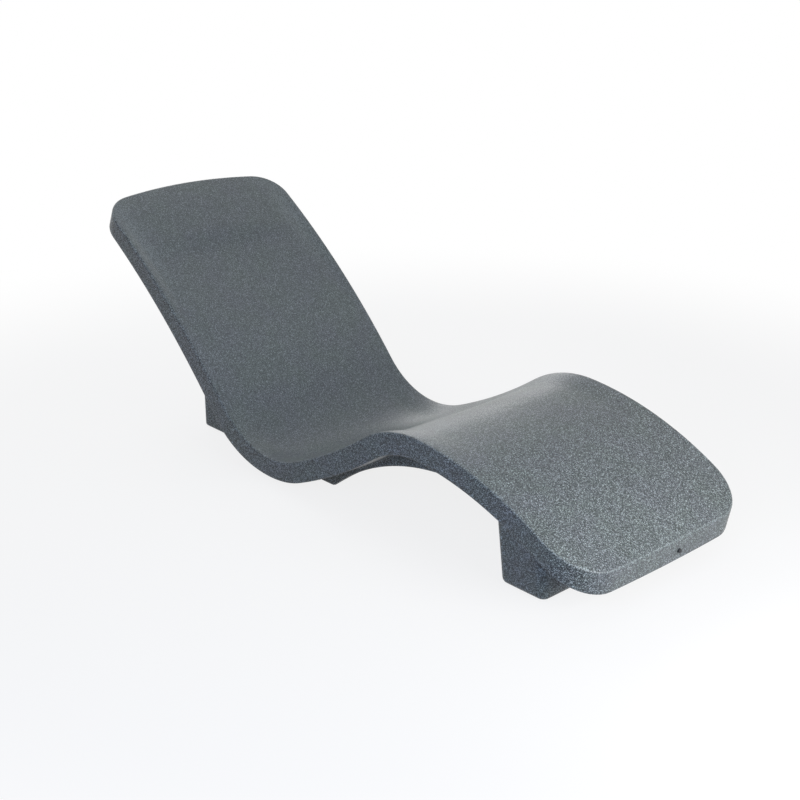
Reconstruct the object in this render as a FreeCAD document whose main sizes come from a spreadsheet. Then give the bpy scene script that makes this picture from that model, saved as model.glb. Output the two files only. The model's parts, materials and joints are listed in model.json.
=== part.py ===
import FreeCAD, Part
import math
import os
import Sketcher

from FreeCAD import Placement, Rotation, Vector

# Spa relaxation lounger: one hollow moulded shell with two feet, a fill port and a drain port with screw
# caps, a vent port with a pull-out plug, and six rubber pads.
# Frame: X from the head to the foot end, Y across, Z up, origin on the floor under the middle.
# Lengths are in millimetres and angles in degrees. A slope is positive where the top face rises towards +X.

LENGTHS = {
    # Shell: side line of the top face, from head to foot end
    "overall_width": 640.0,
    "back_radius": 2556.0,
    "seat_radius": 270.3,
    "rise_radius": 1569.5,
    "knee_radius": 315.5,
    "calf_radius": 948.0,
    "calf_straight": 154.5,
    "seat_height": 76.0,
    # Shell: depth of the slab square to its top face
    "head_depth": 61.0,
    "back_depth": 69.5,
    "seat_depth": 59.5,
    "knee_depth": 60.5,
    "foot_end_height": 68.0,
    "shell_wall": 6.0,
    # Shell: plan corners and edges
    "head_bow": 36.0,
    "head_corner_radius": 102.0,
    "foot_bow": 6.0,
    "foot_corner_radius": 119.0,
    "top_edge_radius": 5.0,
    "low_edge_radius": 3.5,
    # Shell: rear foot and the arch under the knee
    "rear_foot_behind_seat": 480.0,
    "rear_foot_ahead_of_seat": 139.5,
    "body_inset": 115.0,
    "arch_height": 172.5,
    "arch_crest_ahead_of_knee": 34.0,
    "arch_toe_radius": 22.0,
    # Shell: front foot
    "front_foot_setback": 155.0,
    "front_foot_length": 149.0,
    "front_foot_rear_lean": 26.0,
    "front_foot_front_lean": 10.0,
    "front_foot_inset_low": 62.0,
    "front_foot_inset_high": 20.0,
    "foot_corner_edge_radius": 22.0,
    "foot_low_edge_radius": 14.0,
    # Rubber pads under the feet
    "pad_radius": 25.0,
    "pad_thickness": 7.0,
    "pad_proud": 3.0,
    "pad_side_margin": 30.0,
    "pad_end_margin": 62.0,
    "pad_head_pocket_radius": 8.5,
    "pad_head_pocket_depth": 4.4,
    "pad_edge_chamfer": 1.0,
    # Fasteners of the pads
    "screw_radius": 2.5,
    "screw_length": 14.0,
    "screw_head_radius": 4.75,
    "screw_head_height": 2.7,
    "screw_socket_across": 3.0,
    "screw_socket_depth": 1.6,
    "washer_radius": 7.5,
    "washer_thickness": 1.2,
    "insert_radius": 5.0,
    "insert_length": 13.0,
    "insert_groove_depth": 0.8,
    "insert_groove_width": 3.0,
    "boss_wall": 5.0,
    # Fill port in the head end and drain port in the rear foot
    "port_bore_radius": 13.0,
    "port_collar_radius": 17.5,
    "port_collar_length": 15.0,
    "port_key_radius": 19.0,
    "port_key_width": 3.0,
    "port_recess_radius": 20.5,
    "port_recess_depth": 5.0,
    "port_cap_radius": 19.0,
    "port_cap_thickness": 4.0,
    "port_plug_length": 11.0,
    "port_slot_width": 3.0,
    "port_slot_length": 26.0,
    "port_slot_depth": 2.0,
    "port_seal_section_radius": 1.3,
    "port_boss_wall": 4.0,
    "drain_height": 46.0,
    # Vent port in the foot end, a little to one side of the middle
    "vent_offset": 34.0,
    "vent_bore_radius": 3.4,
    "vent_collar_radius": 5.8,
    "vent_collar_length": 13.0,
    "vent_key_radius": 6.8,
    "vent_key_width": 2.5,
    "vent_recess_radius": 6.0,
    "vent_recess_depth": 3.4,
    "vent_cap_radius": 5.3,
    "vent_cap_thickness": 2.2,
    "vent_plug_length": 8.0,
    "vent_slot_width": 1.4,
    "vent_slot_length": 7.0,
    "vent_slot_depth": 1.0,
    "vent_seal_section_radius": 0.7,
    "vent_boss_wall": 3.0,
    # Clearances
    "pad_clearance": 0.2,
    "screw_clearance": 0.3,
    "plug_clearance": 0.3,
    "seal_clearance": 0.2,
    "cap_gap": 0.3,
    # How far a cutting or joining solid runs past what it works on
    "overrun": 40.0,
}

ANGLES = {
    "head_angle": -30.74,
    "back_angle": -48.45,
    "rise_low_angle": 22.72,
    "rise_high_angle": 34.8,
    "knee_far_angle": -3.9,
    "calf_angle": -28.33,
}

STEPS_PER_RUN = 4
SAME_PLACE = 0.001

doc = FreeCAD.newDocument("SpaLounger")
sheet = doc.addObject("Spreadsheet::Sheet", "Sizes")
row = 0
for table in (LENGTHS, ANGLES):
    for alias, value in table.items():
        row += 1
        sheet.set("A%d" % row, alias)
        sheet.set("B%d" % row, str(value))
        sheet.setAlias("B%d" % row, alias)
doc.recompute()


def size(alias):
    """Reads one cell of the sheet."""
    return float(getattr(sheet, alias))


def bind(obj, prop, formula):
    """Ties a property to a formula of the sheet's aliases."""
    words = []
    for word in formula.split():
        words.append("Sizes." + word if word in LENGTHS or word in ANGLES else word)
    obj.setExpression(prop, " ".join(words))


# Side line of the top face

def turn_run(start, slope_from, slope_to, radius):
    """One tangent arc of the side line: its centre, radius and the slopes at its ends."""
    side = 1.0 if slope_to > slope_from else -1.0
    a = math.radians(slope_from)
    centre = start + Vector(-math.sin(a), 0, math.cos(a)) * (radius * side)
    return {"centre": centre, "radius": radius, "side": side, "from": slope_from, "to": slope_to}


def run_frame(run, share):
    """Point and upward normal of the side line, at a share of the way along one run."""
    if "centre" in run:
        a = math.radians(run["from"] + (run["to"] - run["from"]) * share)
        normal = Vector(-math.sin(a), 0, math.cos(a))
        return run["centre"] - normal * (run["radius"] * run["side"]), normal
    a = math.radians(run["from"])
    normal = Vector(-math.sin(a), 0, math.cos(a))
    return run["start"] + Vector(math.cos(a), 0, math.sin(a)) * (run["length"] * share), normal


def side_line():
    """The runs of the top face, set so that the seat's lowest point is at x = 0 at the seat's height."""
    arcs = [("head_angle", "back_angle", "back_radius"),
            ("back_angle", "rise_low_angle", "seat_radius"),
            ("rise_low_angle", "rise_high_angle", "rise_radius"),
            ("rise_high_angle", "knee_far_angle", "knee_radius"),
            ("knee_far_angle", "calf_angle", "calf_radius")]
    runs = []
    point = Vector(0, 0, 0)
    for slope_from, slope_to, radius in arcs:
        runs.append(turn_run(point, size(slope_from), size(slope_to), size(radius)))
        point = run_frame(runs[-1], 1)[0]
    runs.append({"start": point, "from": size("calf_angle"), "length": size("calf_straight")})
    seat = runs[1]
    low = seat["centre"] - Vector(0, 0, seat["radius"])
    shift = Vector(-low.x, 0, size("seat_height") - low.z)
    for run in runs:
        anchor = "centre" if "centre" in run else "start"
        run[anchor] = run[anchor] + shift
    return runs


RUNS = side_line()
BACK, SEAT, RISE, KNEE, CALF, STRAIGHT = RUNS
HEAD_TOP, HEAD_NORMAL = run_frame(BACK, 0)
HEAD_TANGENT = Vector(HEAD_NORMAL.z, 0, -HEAD_NORMAL.x)
FOOT_TOP = run_frame(STRAIGHT, 1)[0]
FOOT_BOTTOM_Z = size("pad_proud")
HALF_WIDTH = size("overall_width") / 2

# The origin is under the middle of the length, edge roundings counted.
head_corner = HEAD_TOP - HEAD_NORMAL * size("head_depth")
head_round = size("low_edge_radius") * (HEAD_NORMAL.z + HEAD_NORMAL.x - 1)
MIDDLE_X = (head_corner.x + head_round + FOOT_TOP.x) / 2
TO_FRAME = Vector(-MIDDLE_X, 0, 0)


def blend(low, high, share):
    """Goes smoothly from one value to another."""
    return low + (high - low) * share * share * (3 - 2 * share)


def seat_low_share():
    """Share of the seat's arc that lies behind its lowest point."""
    return SEAT["from"] / (SEAT["from"] - SEAT["to"])


def slab_depth(run, share):
    """Depth of the slab, square to its top face."""
    if run is BACK:
        return blend(size("head_depth"), size("back_depth"), share)
    if run is SEAT:
        low = seat_low_share()
        if share < low:
            return blend(size("back_depth"), size("seat_depth"), share / low)
        return blend(size("seat_depth"), size("knee_depth"), (share - low) / (1 - low))
    if run is STRAIGHT:
        end = size("foot_end_height") * math.cos(math.radians(size("calf_angle")))
        return size("knee_depth") + (end - size("knee_depth")) * share
    return size("knee_depth")


def line_below(depth_share, inset):
    """Smooth line under the top face, at a share of the slab's depth, pulled up or down by an inset."""
    points = []
    for run in RUNS:
        for step in range(STEPS_PER_RUN):
            share = step / STEPS_PER_RUN
            top, normal = run_frame(run, share)
            points.append(top - normal * (slab_depth(run, share) * depth_share - inset))
    last = FOOT_TOP - Vector(0, 0, size("foot_end_height") * depth_share)
    normal = run_frame(STRAIGHT, 1)[1]
    points.append(last + Vector(0, 0, inset / normal.z))
    curve = Part.BSplineCurve()
    curve.interpolate(points)
    return curve


def top_edges(inset):
    """The top line as arcs and a straight, lowered by an inset."""
    edges = []
    for run in RUNS:
        points = []
        for share in (0, 0.5, 1):
            point, normal = run_frame(run, share)
            points.append(point - normal * inset)
        if "centre" in run:
            edges.append(Part.Arc(*points).toShape())
        else:
            edges.append(Part.LineSegment(points[0], points[2]).toShape())
    return edges


def line_edge(start, end):
    """A straight edge."""
    return Part.LineSegment(start, end).toShape()


def prism(edges, half_width):
    """A closed side outline, extruded evenly to both sides of the middle plane."""
    face = Part.Face(Part.Wire(edges))
    face.translate(Vector(0, -half_width, 0))
    return face.extrude(Vector(0, 2 * half_width, 0))


def lies_on(face, wire):
    """Whether all corners of a face are on the extrusion of a side line across the width."""
    for corner in face.Vertexes:
        point = Part.Vertex(corner.X, 0, corner.Z)
        if point.distToShape(wire)[0] > SAME_PLACE:
            return False
    return True


def border_edges(solid, line):
    """Edges where a face that lies on a line's extrusion meets one that doesn't."""
    wire = Part.Wire(line)
    found = []
    for edge in solid.Edges:
        on_line = [lies_on(face, wire) for face in solid.ancestorsOfType(edge, Part.Face)]
        if len(on_line) == 2 and on_line[0] != on_line[1]:
            found.append(edge)
    return found


def edges_along(solid, direction, where):
    """Straight edges along a direction whose middle passes a test."""
    found = []
    for edge in solid.Edges:
        if len(edge.Vertexes) != 2:
            continue
        run = edge.Vertexes[1].Point - edge.Vertexes[0].Point
        if run.Length < SAME_PLACE or run.cross(direction).Length > SAME_PLACE:
            continue
        if where(edge.CenterOfMass):
            found.append(edge)
    return found


# Shell: slab

def bow_circle(bow):
    """Radius of an end's bowed edge."""
    return (HALF_WIDTH ** 2 + bow ** 2) / (2 * bow)


def bow_depth(bow, offset):
    """How far a bowed edge lies behind its middle, at a distance from the middle plane."""
    return bow_circle(bow) - math.sqrt(bow_circle(bow) ** 2 - offset ** 2)


def end_plan(inset, bow, corner_radius):
    """Plan of one end of the slab in its own frame: a bowed edge at x = 0 with two round corners."""
    bow_radius = bow_circle(bow)
    reach = 2 * (FOOT_TOP - HEAD_TOP).Length
    half = HALF_WIDTH - inset
    strip = Part.makeBox(reach, 2 * half, 2 * reach, Vector(-bow, -half, -reach))
    edge = Part.makeCylinder(bow_radius - inset, 2 * reach, Vector(bow_radius, 0, -reach))
    plan = edge.common(strip).Solids[0]
    corners = edges_along(plan, Vector(0, 0, 1), lambda at: at.x < reach / 2)
    return plan.makeFillet(corner_radius - inset, corners)


def head_plan(inset):
    """Plan of the slab seen square to the head."""
    plan = end_plan(inset, size("head_bow"), size("head_corner_radius"))
    plan.Placement = Placement(HEAD_TOP, Rotation(HEAD_TANGENT, Vector(0, 1, 0), HEAD_NORMAL, "XZY"))
    return plan


def foot_plan(inset):
    """Plan of the slab seen from above, with the foot end's edge."""
    plan = end_plan(inset, size("foot_bow"), size("foot_corner_radius"))
    plan.Placement = Placement(FOOT_TOP, Rotation(Vector(-1, 0, 0), Vector(0, -1, 0), Vector(0, 0, 1), "ZXY"))
    return plan


def slab(inset):
    """The seating slab, or with an inset its hollow."""
    tops = top_edges(inset)
    low = line_below(1, inset)
    low_edge = low.toShape()
    low_start = low.value(low.FirstParameter)
    low_end = low.value(low.LastParameter)
    top_start = tops[0].Vertexes[0].Point
    top_end = tops[-1].Vertexes[-1].Point
    solid = prism(tops + [line_edge(top_end, low_end), low_edge, line_edge(low_start, top_start)],
                  HALF_WIDTH - inset)
    solid = solid.common(head_plan(inset)).common(foot_plan(inset)).Solids[0]
    if inset > 0:
        return solid
    solid = solid.makeFillet(size("top_edge_radius"), border_edges(solid, tops))
    return solid.makeFillet(size("low_edge_radius"), border_edges(solid, [low_edge]))


# Shell: feet

def under_block():
    """Everything below the middle of the slab's depth, over its whole length and width."""
    middle = line_below(0.5, 0)
    start = middle.value(middle.FirstParameter)
    end = middle.value(middle.LastParameter)
    floor = -size("overrun")
    outline = [middle.toShape(), line_edge(end, Vector(end.x, 0, floor)),
               line_edge(Vector(end.x, 0, floor), Vector(start.x, 0, floor)),
               line_edge(Vector(start.x, 0, floor), start)]
    return prism(outline, HALF_WIDTH + size("overrun"))


FRONT_FOOT_X1 = FOOT_TOP.x - size("front_foot_setback")
FRONT_FOOT_X0 = FRONT_FOOT_X1 - size("front_foot_length")
REAR_FOOT_X0 = -size("rear_foot_behind_seat")
REAR_FOOT_X1 = size("rear_foot_ahead_of_seat")
ARCH_CREST_X = KNEE["centre"].x + size("arch_crest_ahead_of_knee")
FRONT_FOOT_TOP_Z = run_frame(STRAIGHT, 0)[0].z


def rear_body(inset):
    """Rear foot and the arch that runs on from it to the front foot, or their hollow."""
    floor = FOOT_BOTTOM_Z + inset
    rise = size("arch_height")
    run = ARCH_CREST_X - REAR_FOOT_X1
    radius = (run ** 2 + rise ** 2) / (2 * rise)
    centre = Vector(ARCH_CREST_X, 0, FOOT_BOTTOM_Z + rise - radius)
    radius += inset
    end_x = (FRONT_FOOT_X0 + FRONT_FOOT_X1) / 2
    toe = Vector(centre.x - math.sqrt(radius ** 2 - (floor - centre.z) ** 2), 0, floor)
    arch_end = Vector(end_x, 0, centre.z + math.sqrt(radius ** 2 - (end_x - centre.x) ** 2))
    arch_top = centre + Vector(0, 0, radius)
    heel = Vector(REAR_FOOT_X0 + inset, 0, floor)
    high = HEAD_TOP.z
    heel_top = Vector(heel.x, 0, high)
    end_top = Vector(end_x, 0, high)
    outline = [line_edge(heel, toe), Part.Arc(toe, arch_top, arch_end).toShape(),
               line_edge(arch_end, end_top), line_edge(end_top, heel_top), line_edge(heel_top, heel)]
    half = HALF_WIDTH - size("body_inset") - inset
    solid = prism(outline, half)
    across = Vector(0, 1, 0)
    toe_edge = edges_along(solid, across, lambda at: (at - toe).Length < SAME_PLACE)
    solid = solid.makeFillet(size("arch_toe_radius") - inset, toe_edge)
    corners = edges_along(solid, Vector(0, 0, 1), lambda at: abs(at.x - heel.x) < SAME_PLACE)
    solid = solid.makeFillet(size("foot_corner_edge_radius") - inset, corners)
    if inset == 0:
        solid = solid.makeFillet(size("foot_low_edge_radius"), floor_edges(solid, floor))
    return solid


def floor_edges(solid, floor):
    """Edges round the flat face that a foot stands on."""
    for face in solid.Faces:
        box = face.BoundBox
        if abs(box.ZMin - floor) < SAME_PLACE and abs(box.ZMax - floor) < SAME_PLACE:
            return face.OuterWire.Edges
    return []


def front_foot(inset):
    """Front foot: four leaning walls from the floor up into the slab, or their hollow."""
    height = FRONT_FOOT_TOP_Z - FOOT_BOTTOM_Z
    outlines = []
    for z in (FOOT_BOTTOM_Z + inset, FRONT_FOOT_TOP_Z):
        share = (z - FOOT_BOTTOM_Z) / height
        x0 = FRONT_FOOT_X0 + size("front_foot_rear_lean") * share + inset
        x1 = FRONT_FOOT_X1 + size("front_foot_front_lean") * share - inset
        side = size("front_foot_inset_low")
        side += (size("front_foot_inset_high") - side) * share
        half = HALF_WIDTH - side - inset
        corners = [Vector(x0, -half, z), Vector(x1, -half, z), Vector(x1, half, z), Vector(x0, half, z)]
        outlines.append(Part.makePolygon(corners + corners[:1]))
    solid = Part.makeLoft(outlines, True, True)
    upright = [edge for edge in solid.Edges if abs(edge.Vertexes[0].Z - edge.Vertexes[1].Z) > SAME_PLACE]
    solid = solid.makeFillet(size("foot_corner_edge_radius") - inset, upright)
    if inset == 0:
        solid = solid.makeFillet(size("foot_low_edge_radius"), floor_edges(solid, FOOT_BOTTOM_Z))
    return solid


# Ports: each has its outward frame, on the face that it goes through

def outward(origin, direction):
    """Frame of a port: Z out of the shell, origin in the middle of the face."""
    return Placement(origin, Rotation(Vector(0, 0, 1), direction))


head_face = HEAD_TOP - HEAD_NORMAL * (size("head_depth") / 2)
rear_face = Vector(REAR_FOOT_X0, 0, size("drain_height"))
foot_face = FOOT_TOP + Vector(-bow_depth(size("foot_bow"), size("vent_offset")), size("vent_offset"),
                              -size("foot_end_height") / 2)
PORTS = {
    "fill": {"place": outward(head_face, HEAD_TANGENT * -1), "family": "port"},
    "drain": {"place": outward(rear_face, Vector(-1, 0, 0)), "family": "port"},
    "vent": {"place": outward(foot_face, Vector(1, 0, 0)), "family": "vent"},
}


def cylinder(radius, low, high, place):
    """A round along a port's own axis, from one height to another."""
    solid = Part.makeCylinder(radius, high - low, Vector(0, 0, low))
    solid.Placement = place
    return solid


def port_boss(port):
    """Material that the moulding flows round a port's collar."""
    family = port["family"]
    back = size(family + "_recess_depth") + size(family + "_collar_length")
    radius = size(family + "_key_radius") + size(family + "_boss_wall")
    return cylinder(radius, -back, -size("shell_wall") / 2, port["place"])


def port_hole(port):
    """Recess, collar seat and key groove, cut out of the shell in one."""
    family = port["family"]
    recess = size(family + "_recess_depth")
    length = size(family + "_collar_length")
    key_low = -recess - length / 2 - size(family + "_key_width") / 2
    hole = cylinder(size(family + "_recess_radius"), -recess, size("overrun") / 2, port["place"])
    seat = cylinder(size(family + "_collar_radius"), -recess - length - size("overrun") / 2, -recess,
                    port["place"])
    key = cylinder(size(family + "_key_radius"), key_low, key_low + size(family + "_key_width"), port["place"])
    return hole.fuse([seat, key])


# Pads: two on the front foot and four on the rear foot

front_pad_x = (FRONT_FOOT_X0 + FRONT_FOOT_X1) / 2
front_pad_y = HALF_WIDTH - size("front_foot_inset_low") - size("pad_side_margin") - size("pad_radius")
rear_pad_y = HALF_WIDTH - size("body_inset") - size("pad_side_margin") - size("pad_radius")
PADS = {
    "front_pad_right": Vector(front_pad_x, front_pad_y * -1, 0),
    "front_pad_left": Vector(front_pad_x, front_pad_y, 0),
    "rear_pad_front_right": Vector(REAR_FOOT_X1 - size("pad_end_margin"), rear_pad_y * -1, 0),
    "rear_pad_front_left": Vector(REAR_FOOT_X1 - size("pad_end_margin"), rear_pad_y, 0),
    "rear_pad_back_right": Vector(REAR_FOOT_X0 + size("pad_end_margin"), rear_pad_y * -1, 0),
    "rear_pad_back_left": Vector(REAR_FOOT_X0 + size("pad_end_margin"), rear_pad_y, 0),
}
INSERT_BASE_Z = size("pad_thickness")


def pad_boss(at):
    """Post of moulded material round one threaded insert."""
    radius = size("insert_radius") + size("boss_wall")
    height = size("insert_length") + size("boss_wall")
    return Part.makeCylinder(radius, height, at + Vector(0, 0, INSERT_BASE_Z))


def pad_hole(at):
    """Shallow seat of one pad and the blind hole of its insert."""
    seat = Part.makeCylinder(size("pad_radius") + size("pad_clearance"),
                             INSERT_BASE_Z + size("overrun"), at - Vector(0, 0, size("overrun")))
    hole = insert_solid(0).copy()
    hole.translate(at)
    return seat.fuse(hole)


def insert_solid(bore_radius):
    """Brass insert with a locking groove; a bore of zero gives the hole that it fills."""
    radius = size("insert_radius")
    length = size("insert_length")
    groove = size("insert_groove_depth")
    base = Vector(0, 0, INSERT_BASE_Z)
    middle = Vector(0, 0, INSERT_BASE_Z + (length - size("insert_groove_width")) / 2)
    solid = Part.makeCylinder(radius, length, base)
    ring = Part.makeCylinder(radius, size("insert_groove_width"), middle)
    ring = ring.cut(Part.makeCylinder(radius - groove, size("insert_groove_width"), middle))
    solid = solid.cut(ring)
    if bore_radius > 0:
        solid = solid.cut(Part.makeCylinder(bore_radius, length, base))
    return solid


def build_shell():
    """The hollow moulding with its feet, bosses, pad seats and port holes."""
    under = under_block()
    outer = slab(0).fuse([rear_body(0).common(under), front_foot(0).common(under)])
    wall = size("shell_wall")
    hollow = slab(wall).fuse([rear_body(wall).common(under), front_foot(wall).common(under)])
    bosses = [port_boss(port) for port in PORTS.values()] + [pad_boss(at) for at in PADS.values()]
    hollow = hollow.cut(bosses)
    holes = [port_hole(port) for port in PORTS.values()] + [pad_hole(at) for at in PADS.values()]
    return outer.removeSplitter().cut([hollow.removeSplitter()] + holes)


nodes = []


def place(obj, placement):
    """Puts a sub-part at its place, given in the frame of the side line, and keeps it for export."""
    obj.Placement = Placement(TO_FRAME, Rotation()) * placement
    nodes.append(obj)
    return obj


def add_feature(name, shape):
    """Adds a sub-part whose shape is worked out here."""
    obj = doc.addObject("Part::Feature", name)
    obj.Shape = shape
    return obj


# Small pieces: sketches, rounds and cuts that the sheet drives

def sketch_on(body, name, height):
    """An empty sketch across the body's axis, at a height given by a formula."""
    sketch = body.newObject("Sketcher::SketchObject", name)
    plane = [item for item in body.Origin.OriginFeatures if item.Role == "XY_Plane"][0]
    sketch.AttachmentSupport = [(plane, "")]
    sketch.MapMode = "FlatFace"
    bind(sketch, "AttachmentOffset.Base.z", height)
    return sketch


def disc_sketch(body, name, radius, height):
    """A circle on the body's axis."""
    sketch = sketch_on(body, name, height)
    sketch.addGeometry(Part.Circle(Vector(0, 0, 0), Vector(0, 0, 1), 1), False)
    sketch.addConstraint(Sketcher.Constraint("Coincident", 0, 3, -1, 1))
    sketch.addConstraint(Sketcher.Constraint("Radius", 0, 1))
    sketch.renameConstraint(1, "radius")
    bind(sketch, "Constraints.radius", radius)
    return sketch


def slot_sketch(body, name, length, width, height):
    """A rectangle centred on the body's axis."""
    sketch = sketch_on(body, name, height)
    corners = [Vector(-1, -1, 0), Vector(1, -1, 0), Vector(1, 1, 0), Vector(-1, 1, 0)]
    for i in range(4):
        sketch.addGeometry(Part.LineSegment(corners[i], corners[(i + 1) % 4]), False)
    for i in range(4):
        sketch.addConstraint(Sketcher.Constraint("Coincident", i, 2, (i + 1) % 4, 1))
    sketch.addConstraint(Sketcher.Constraint("Horizontal", 0))
    sketch.addConstraint(Sketcher.Constraint("Vertical", 1))
    sketch.addConstraint(Sketcher.Constraint("Horizontal", 2))
    sketch.addConstraint(Sketcher.Constraint("Vertical", 3))
    sketch.addConstraint(Sketcher.Constraint("Symmetric", 0, 1, 2, 1, -1, 1))
    diagonal = corners[2] - corners[0]
    sketch.addConstraint(Sketcher.Constraint("DistanceX", 0, 1, 0, 2, diagonal.x))
    sketch.addConstraint(Sketcher.Constraint("DistanceY", 1, 1, 1, 2, diagonal.y))
    sketch.renameConstraint(9, "length")
    sketch.renameConstraint(10, "width")
    bind(sketch, "Constraints.length", length)
    bind(sketch, "Constraints.width", width)
    return sketch


def pad(body, name, sketch, length, downward=False):
    """Adds material from a sketch, up or down the body's axis."""
    feature = body.newObject("PartDesign::Pad", name)
    feature.Profile = sketch
    feature.Reversed = downward
    bind(feature, "Length", length)
    return feature


def pocket(body, name, sketch, length, upward=False):
    """Removes material from a sketch, down or up the body's axis, and makes sure that it cuts."""
    doc.recompute()
    before = body.Shape.Volume
    feature = body.newObject("PartDesign::Pocket", name)
    feature.Profile = sketch
    feature.Reversed = upward
    bind(feature, "Length", length)
    doc.recompute()
    if body.Shape.Volume >= before:
        raise ValueError("%s cuts nothing" % feature.Name)
    return feature


def round_bar(name, radius, length, base):
    """A cylinder along Z whose foot is at a height given by a formula."""
    bar = doc.addObject("Part::Cylinder", name)
    bind(bar, "Radius", radius)
    bind(bar, "Height", length)
    bind(bar, "Placement.Base.z", base)
    return bar


def cut(name, base, tool):
    """One solid less another."""
    result = doc.addObject("Part::Cut", name)
    result.Base = base
    result.Tool = tool
    return result


def fuse(name, solids):
    """Several solids joined in one."""
    result = doc.addObject("Part::MultiFuse", name)
    result.Shapes = solids
    result.Refine = True
    return result


# Port pieces, each in its own frame: Z outward, origin on the face that the port goes through

def own_formula(family, text):
    """Writes a formula for one family of port, whose words start with own_."""
    return text.replace("own_", family + "_")


def make_collar(name, family):
    """Collar that the moulding locks in by its key ring, with the seat of the seal."""
    def bar(part, radius, length, base):
        return round_bar(name + part, own_formula(family, radius), own_formula(family, length),
                         own_formula(family, base))
    seat_radius = "own_bore_radius - plug_clearance + 2 * seal_clearance + 2 * own_seal_section_radius"
    seat_depth = "2 * own_seal_section_radius + 2 * seal_clearance - cap_gap"
    tube = bar("_tube", "own_collar_radius", "own_collar_length", "0 - own_recess_depth - own_collar_length")
    key = bar("_key", "own_key_radius", "own_key_width",
              "0 - own_recess_depth - ( own_collar_length + own_key_width ) / 2")
    bore = bar("_bore", "own_bore_radius", "own_collar_length + 2 * overrun",
               "0 - own_recess_depth - own_collar_length - overrun")
    seat = bar("_seat", seat_radius, seat_depth + " + overrun", "0 - own_recess_depth - ( %s )" % seat_depth)
    bored = cut(name + "_bored", fuse(name + "_outside", [tube, key]), bore)
    return cut(name, bored, seat)


def make_seal(name, family):
    """Ring that seals between the collar's seat and the cap."""
    ring = doc.addObject("Part::Torus", name)
    radius = "own_bore_radius - plug_clearance + seal_clearance + own_seal_section_radius"
    bind(ring, "Radius1", own_formula(family, radius))
    bind(ring, "Radius2", own_formula(family, "own_seal_section_radius"))
    return ring


def make_cap(name, family):
    """Cap: round head with a slot in its face, over a plug that fills the collar's bore."""
    body = doc.addObject("PartDesign::Body", name)
    under = own_formula(family, "cap_gap - own_recess_depth")
    top = own_formula(family, "cap_gap - own_recess_depth + own_cap_thickness")
    plug_radius = own_formula(family, "own_bore_radius - plug_clearance")
    pad(body, name + "_head", disc_sketch(body, name + "_head_disc", own_formula(family, "own_cap_radius"), under),
        own_formula(family, "own_cap_thickness"))
    pad(body, name + "_plug", disc_sketch(body, name + "_plug_disc", plug_radius, under),
        own_formula(family, "own_plug_length"), downward=True)
    outline = slot_sketch(body, name + "_slot_outline", own_formula(family, "own_slot_length"),
                          own_formula(family, "own_slot_width"), top)
    body.Tip = pocket(body, name + "_slot", outline, own_formula(family, "own_slot_depth"))
    return body


def make_port(name, port):
    """The collar, seal and cap of one port, at its place in the shell."""
    family = port["family"]
    place(make_collar(name + "_collar", family), port["place"])
    seal_height = size("cap_gap") - size(family + "_recess_depth")
    seal_height -= size(family + "_seal_section_radius") + size("seal_clearance")
    place(make_seal(name + "_seal", family), port["place"] * Placement(Vector(0, 0, seal_height), Rotation()))
    place(make_cap(name + "_cap", family), port["place"])


# Pads and their fasteners, each in its own frame: Z up, origin on the floor

def make_pad(name):
    """Rubber pad with a pocket for the screw's head and a hole for its shank."""
    body = doc.addObject("PartDesign::Body", name)
    pad(body, name + "_disc", disc_sketch(body, name + "_outline", "pad_radius", "0"), "pad_thickness")
    pocket(body, name + "_head_pocket",
           disc_sketch(body, name + "_pocket_outline", "pad_head_pocket_radius", "0"),
           "pad_head_pocket_depth", upward=True)
    bore = pocket(body, name + "_bore",
                  disc_sketch(body, name + "_bore_outline", "screw_radius + screw_clearance", "0"),
                  "pad_thickness", upward=True)
    rim = []
    for number, edge in enumerate(body.Shape.Edges, 1):
        at_rim = abs(edge.BoundBox.XMax - size("pad_radius")) < SAME_PLACE
        if at_rim and edge.BoundBox.ZMax < SAME_PLACE:
            rim.append("Edge%d" % number)
    chamfer = body.newObject("PartDesign::Chamfer", name + "_edge")
    chamfer.Base = (bore, rim)
    bind(chamfer, "Size", "pad_edge_chamfer")
    body.Tip = chamfer
    return body


def make_screw():
    """Pan head screw with a hexagon socket, head down."""
    base = "pad_head_pocket_depth - washer_thickness - screw_head_height"
    head = round_bar("screw_head", "screw_head_radius", "screw_head_height", base)
    shank = round_bar("screw_shank", "screw_radius", "screw_length + screw_head_height", base)
    socket = doc.addObject("Part::Prism", "screw_socket")
    socket.Polygon = 6
    bind(socket, "Circumradius", "screw_socket_across / sqrt(3)")
    bind(socket, "Height", "screw_socket_depth + overrun")
    bind(socket, "Placement.Base.z", base + " - overrun")
    return cut("screw", fuse("screw_blank", [head, shank]), socket)


def make_washer():
    """Flat washer between the screw's head and the pad."""
    base = "pad_head_pocket_depth - washer_thickness"
    disc = round_bar("washer_disc", "washer_radius", "washer_thickness", base)
    hole = round_bar("washer_hole", "screw_radius + screw_clearance", "washer_thickness", base)
    return cut("washer", disc, hole)


def group(name, piece):
    """One node that holds a copy of a fastener at every pad."""
    copies = []
    for at in PADS.values():
        copy = piece.copy()
        copy.translate(at)
        copies.append(copy)
    return place(add_feature(name, Part.makeCompound(copies)), Placement())


place(add_feature("shell", build_shell()), Placement())
for port_name, port in PORTS.items():
    make_port(port_name, port)
for pad_name, at in PADS.items():
    place(make_pad(pad_name), Placement(at, Rotation()))
screw = make_screw()
washer = make_washer()
doc.recompute()
group("pad_screws", screw.Shape)
group("pad_washers", washer.Shape)
group("pad_inserts", insert_solid(size("screw_radius")))
doc.recompute()

for obj in doc.Objects:
    if "Invalid" in obj.State or "Error" in obj.State:
        raise ValueError("%s failed: %s" % (obj.Name, obj.State))
for obj in nodes:
    obj.Label = obj.Name
    if obj.Shape.isNull() or not obj.Shape.isValid():
        raise ValueError("%s has no valid shape" % obj.Name)

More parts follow.
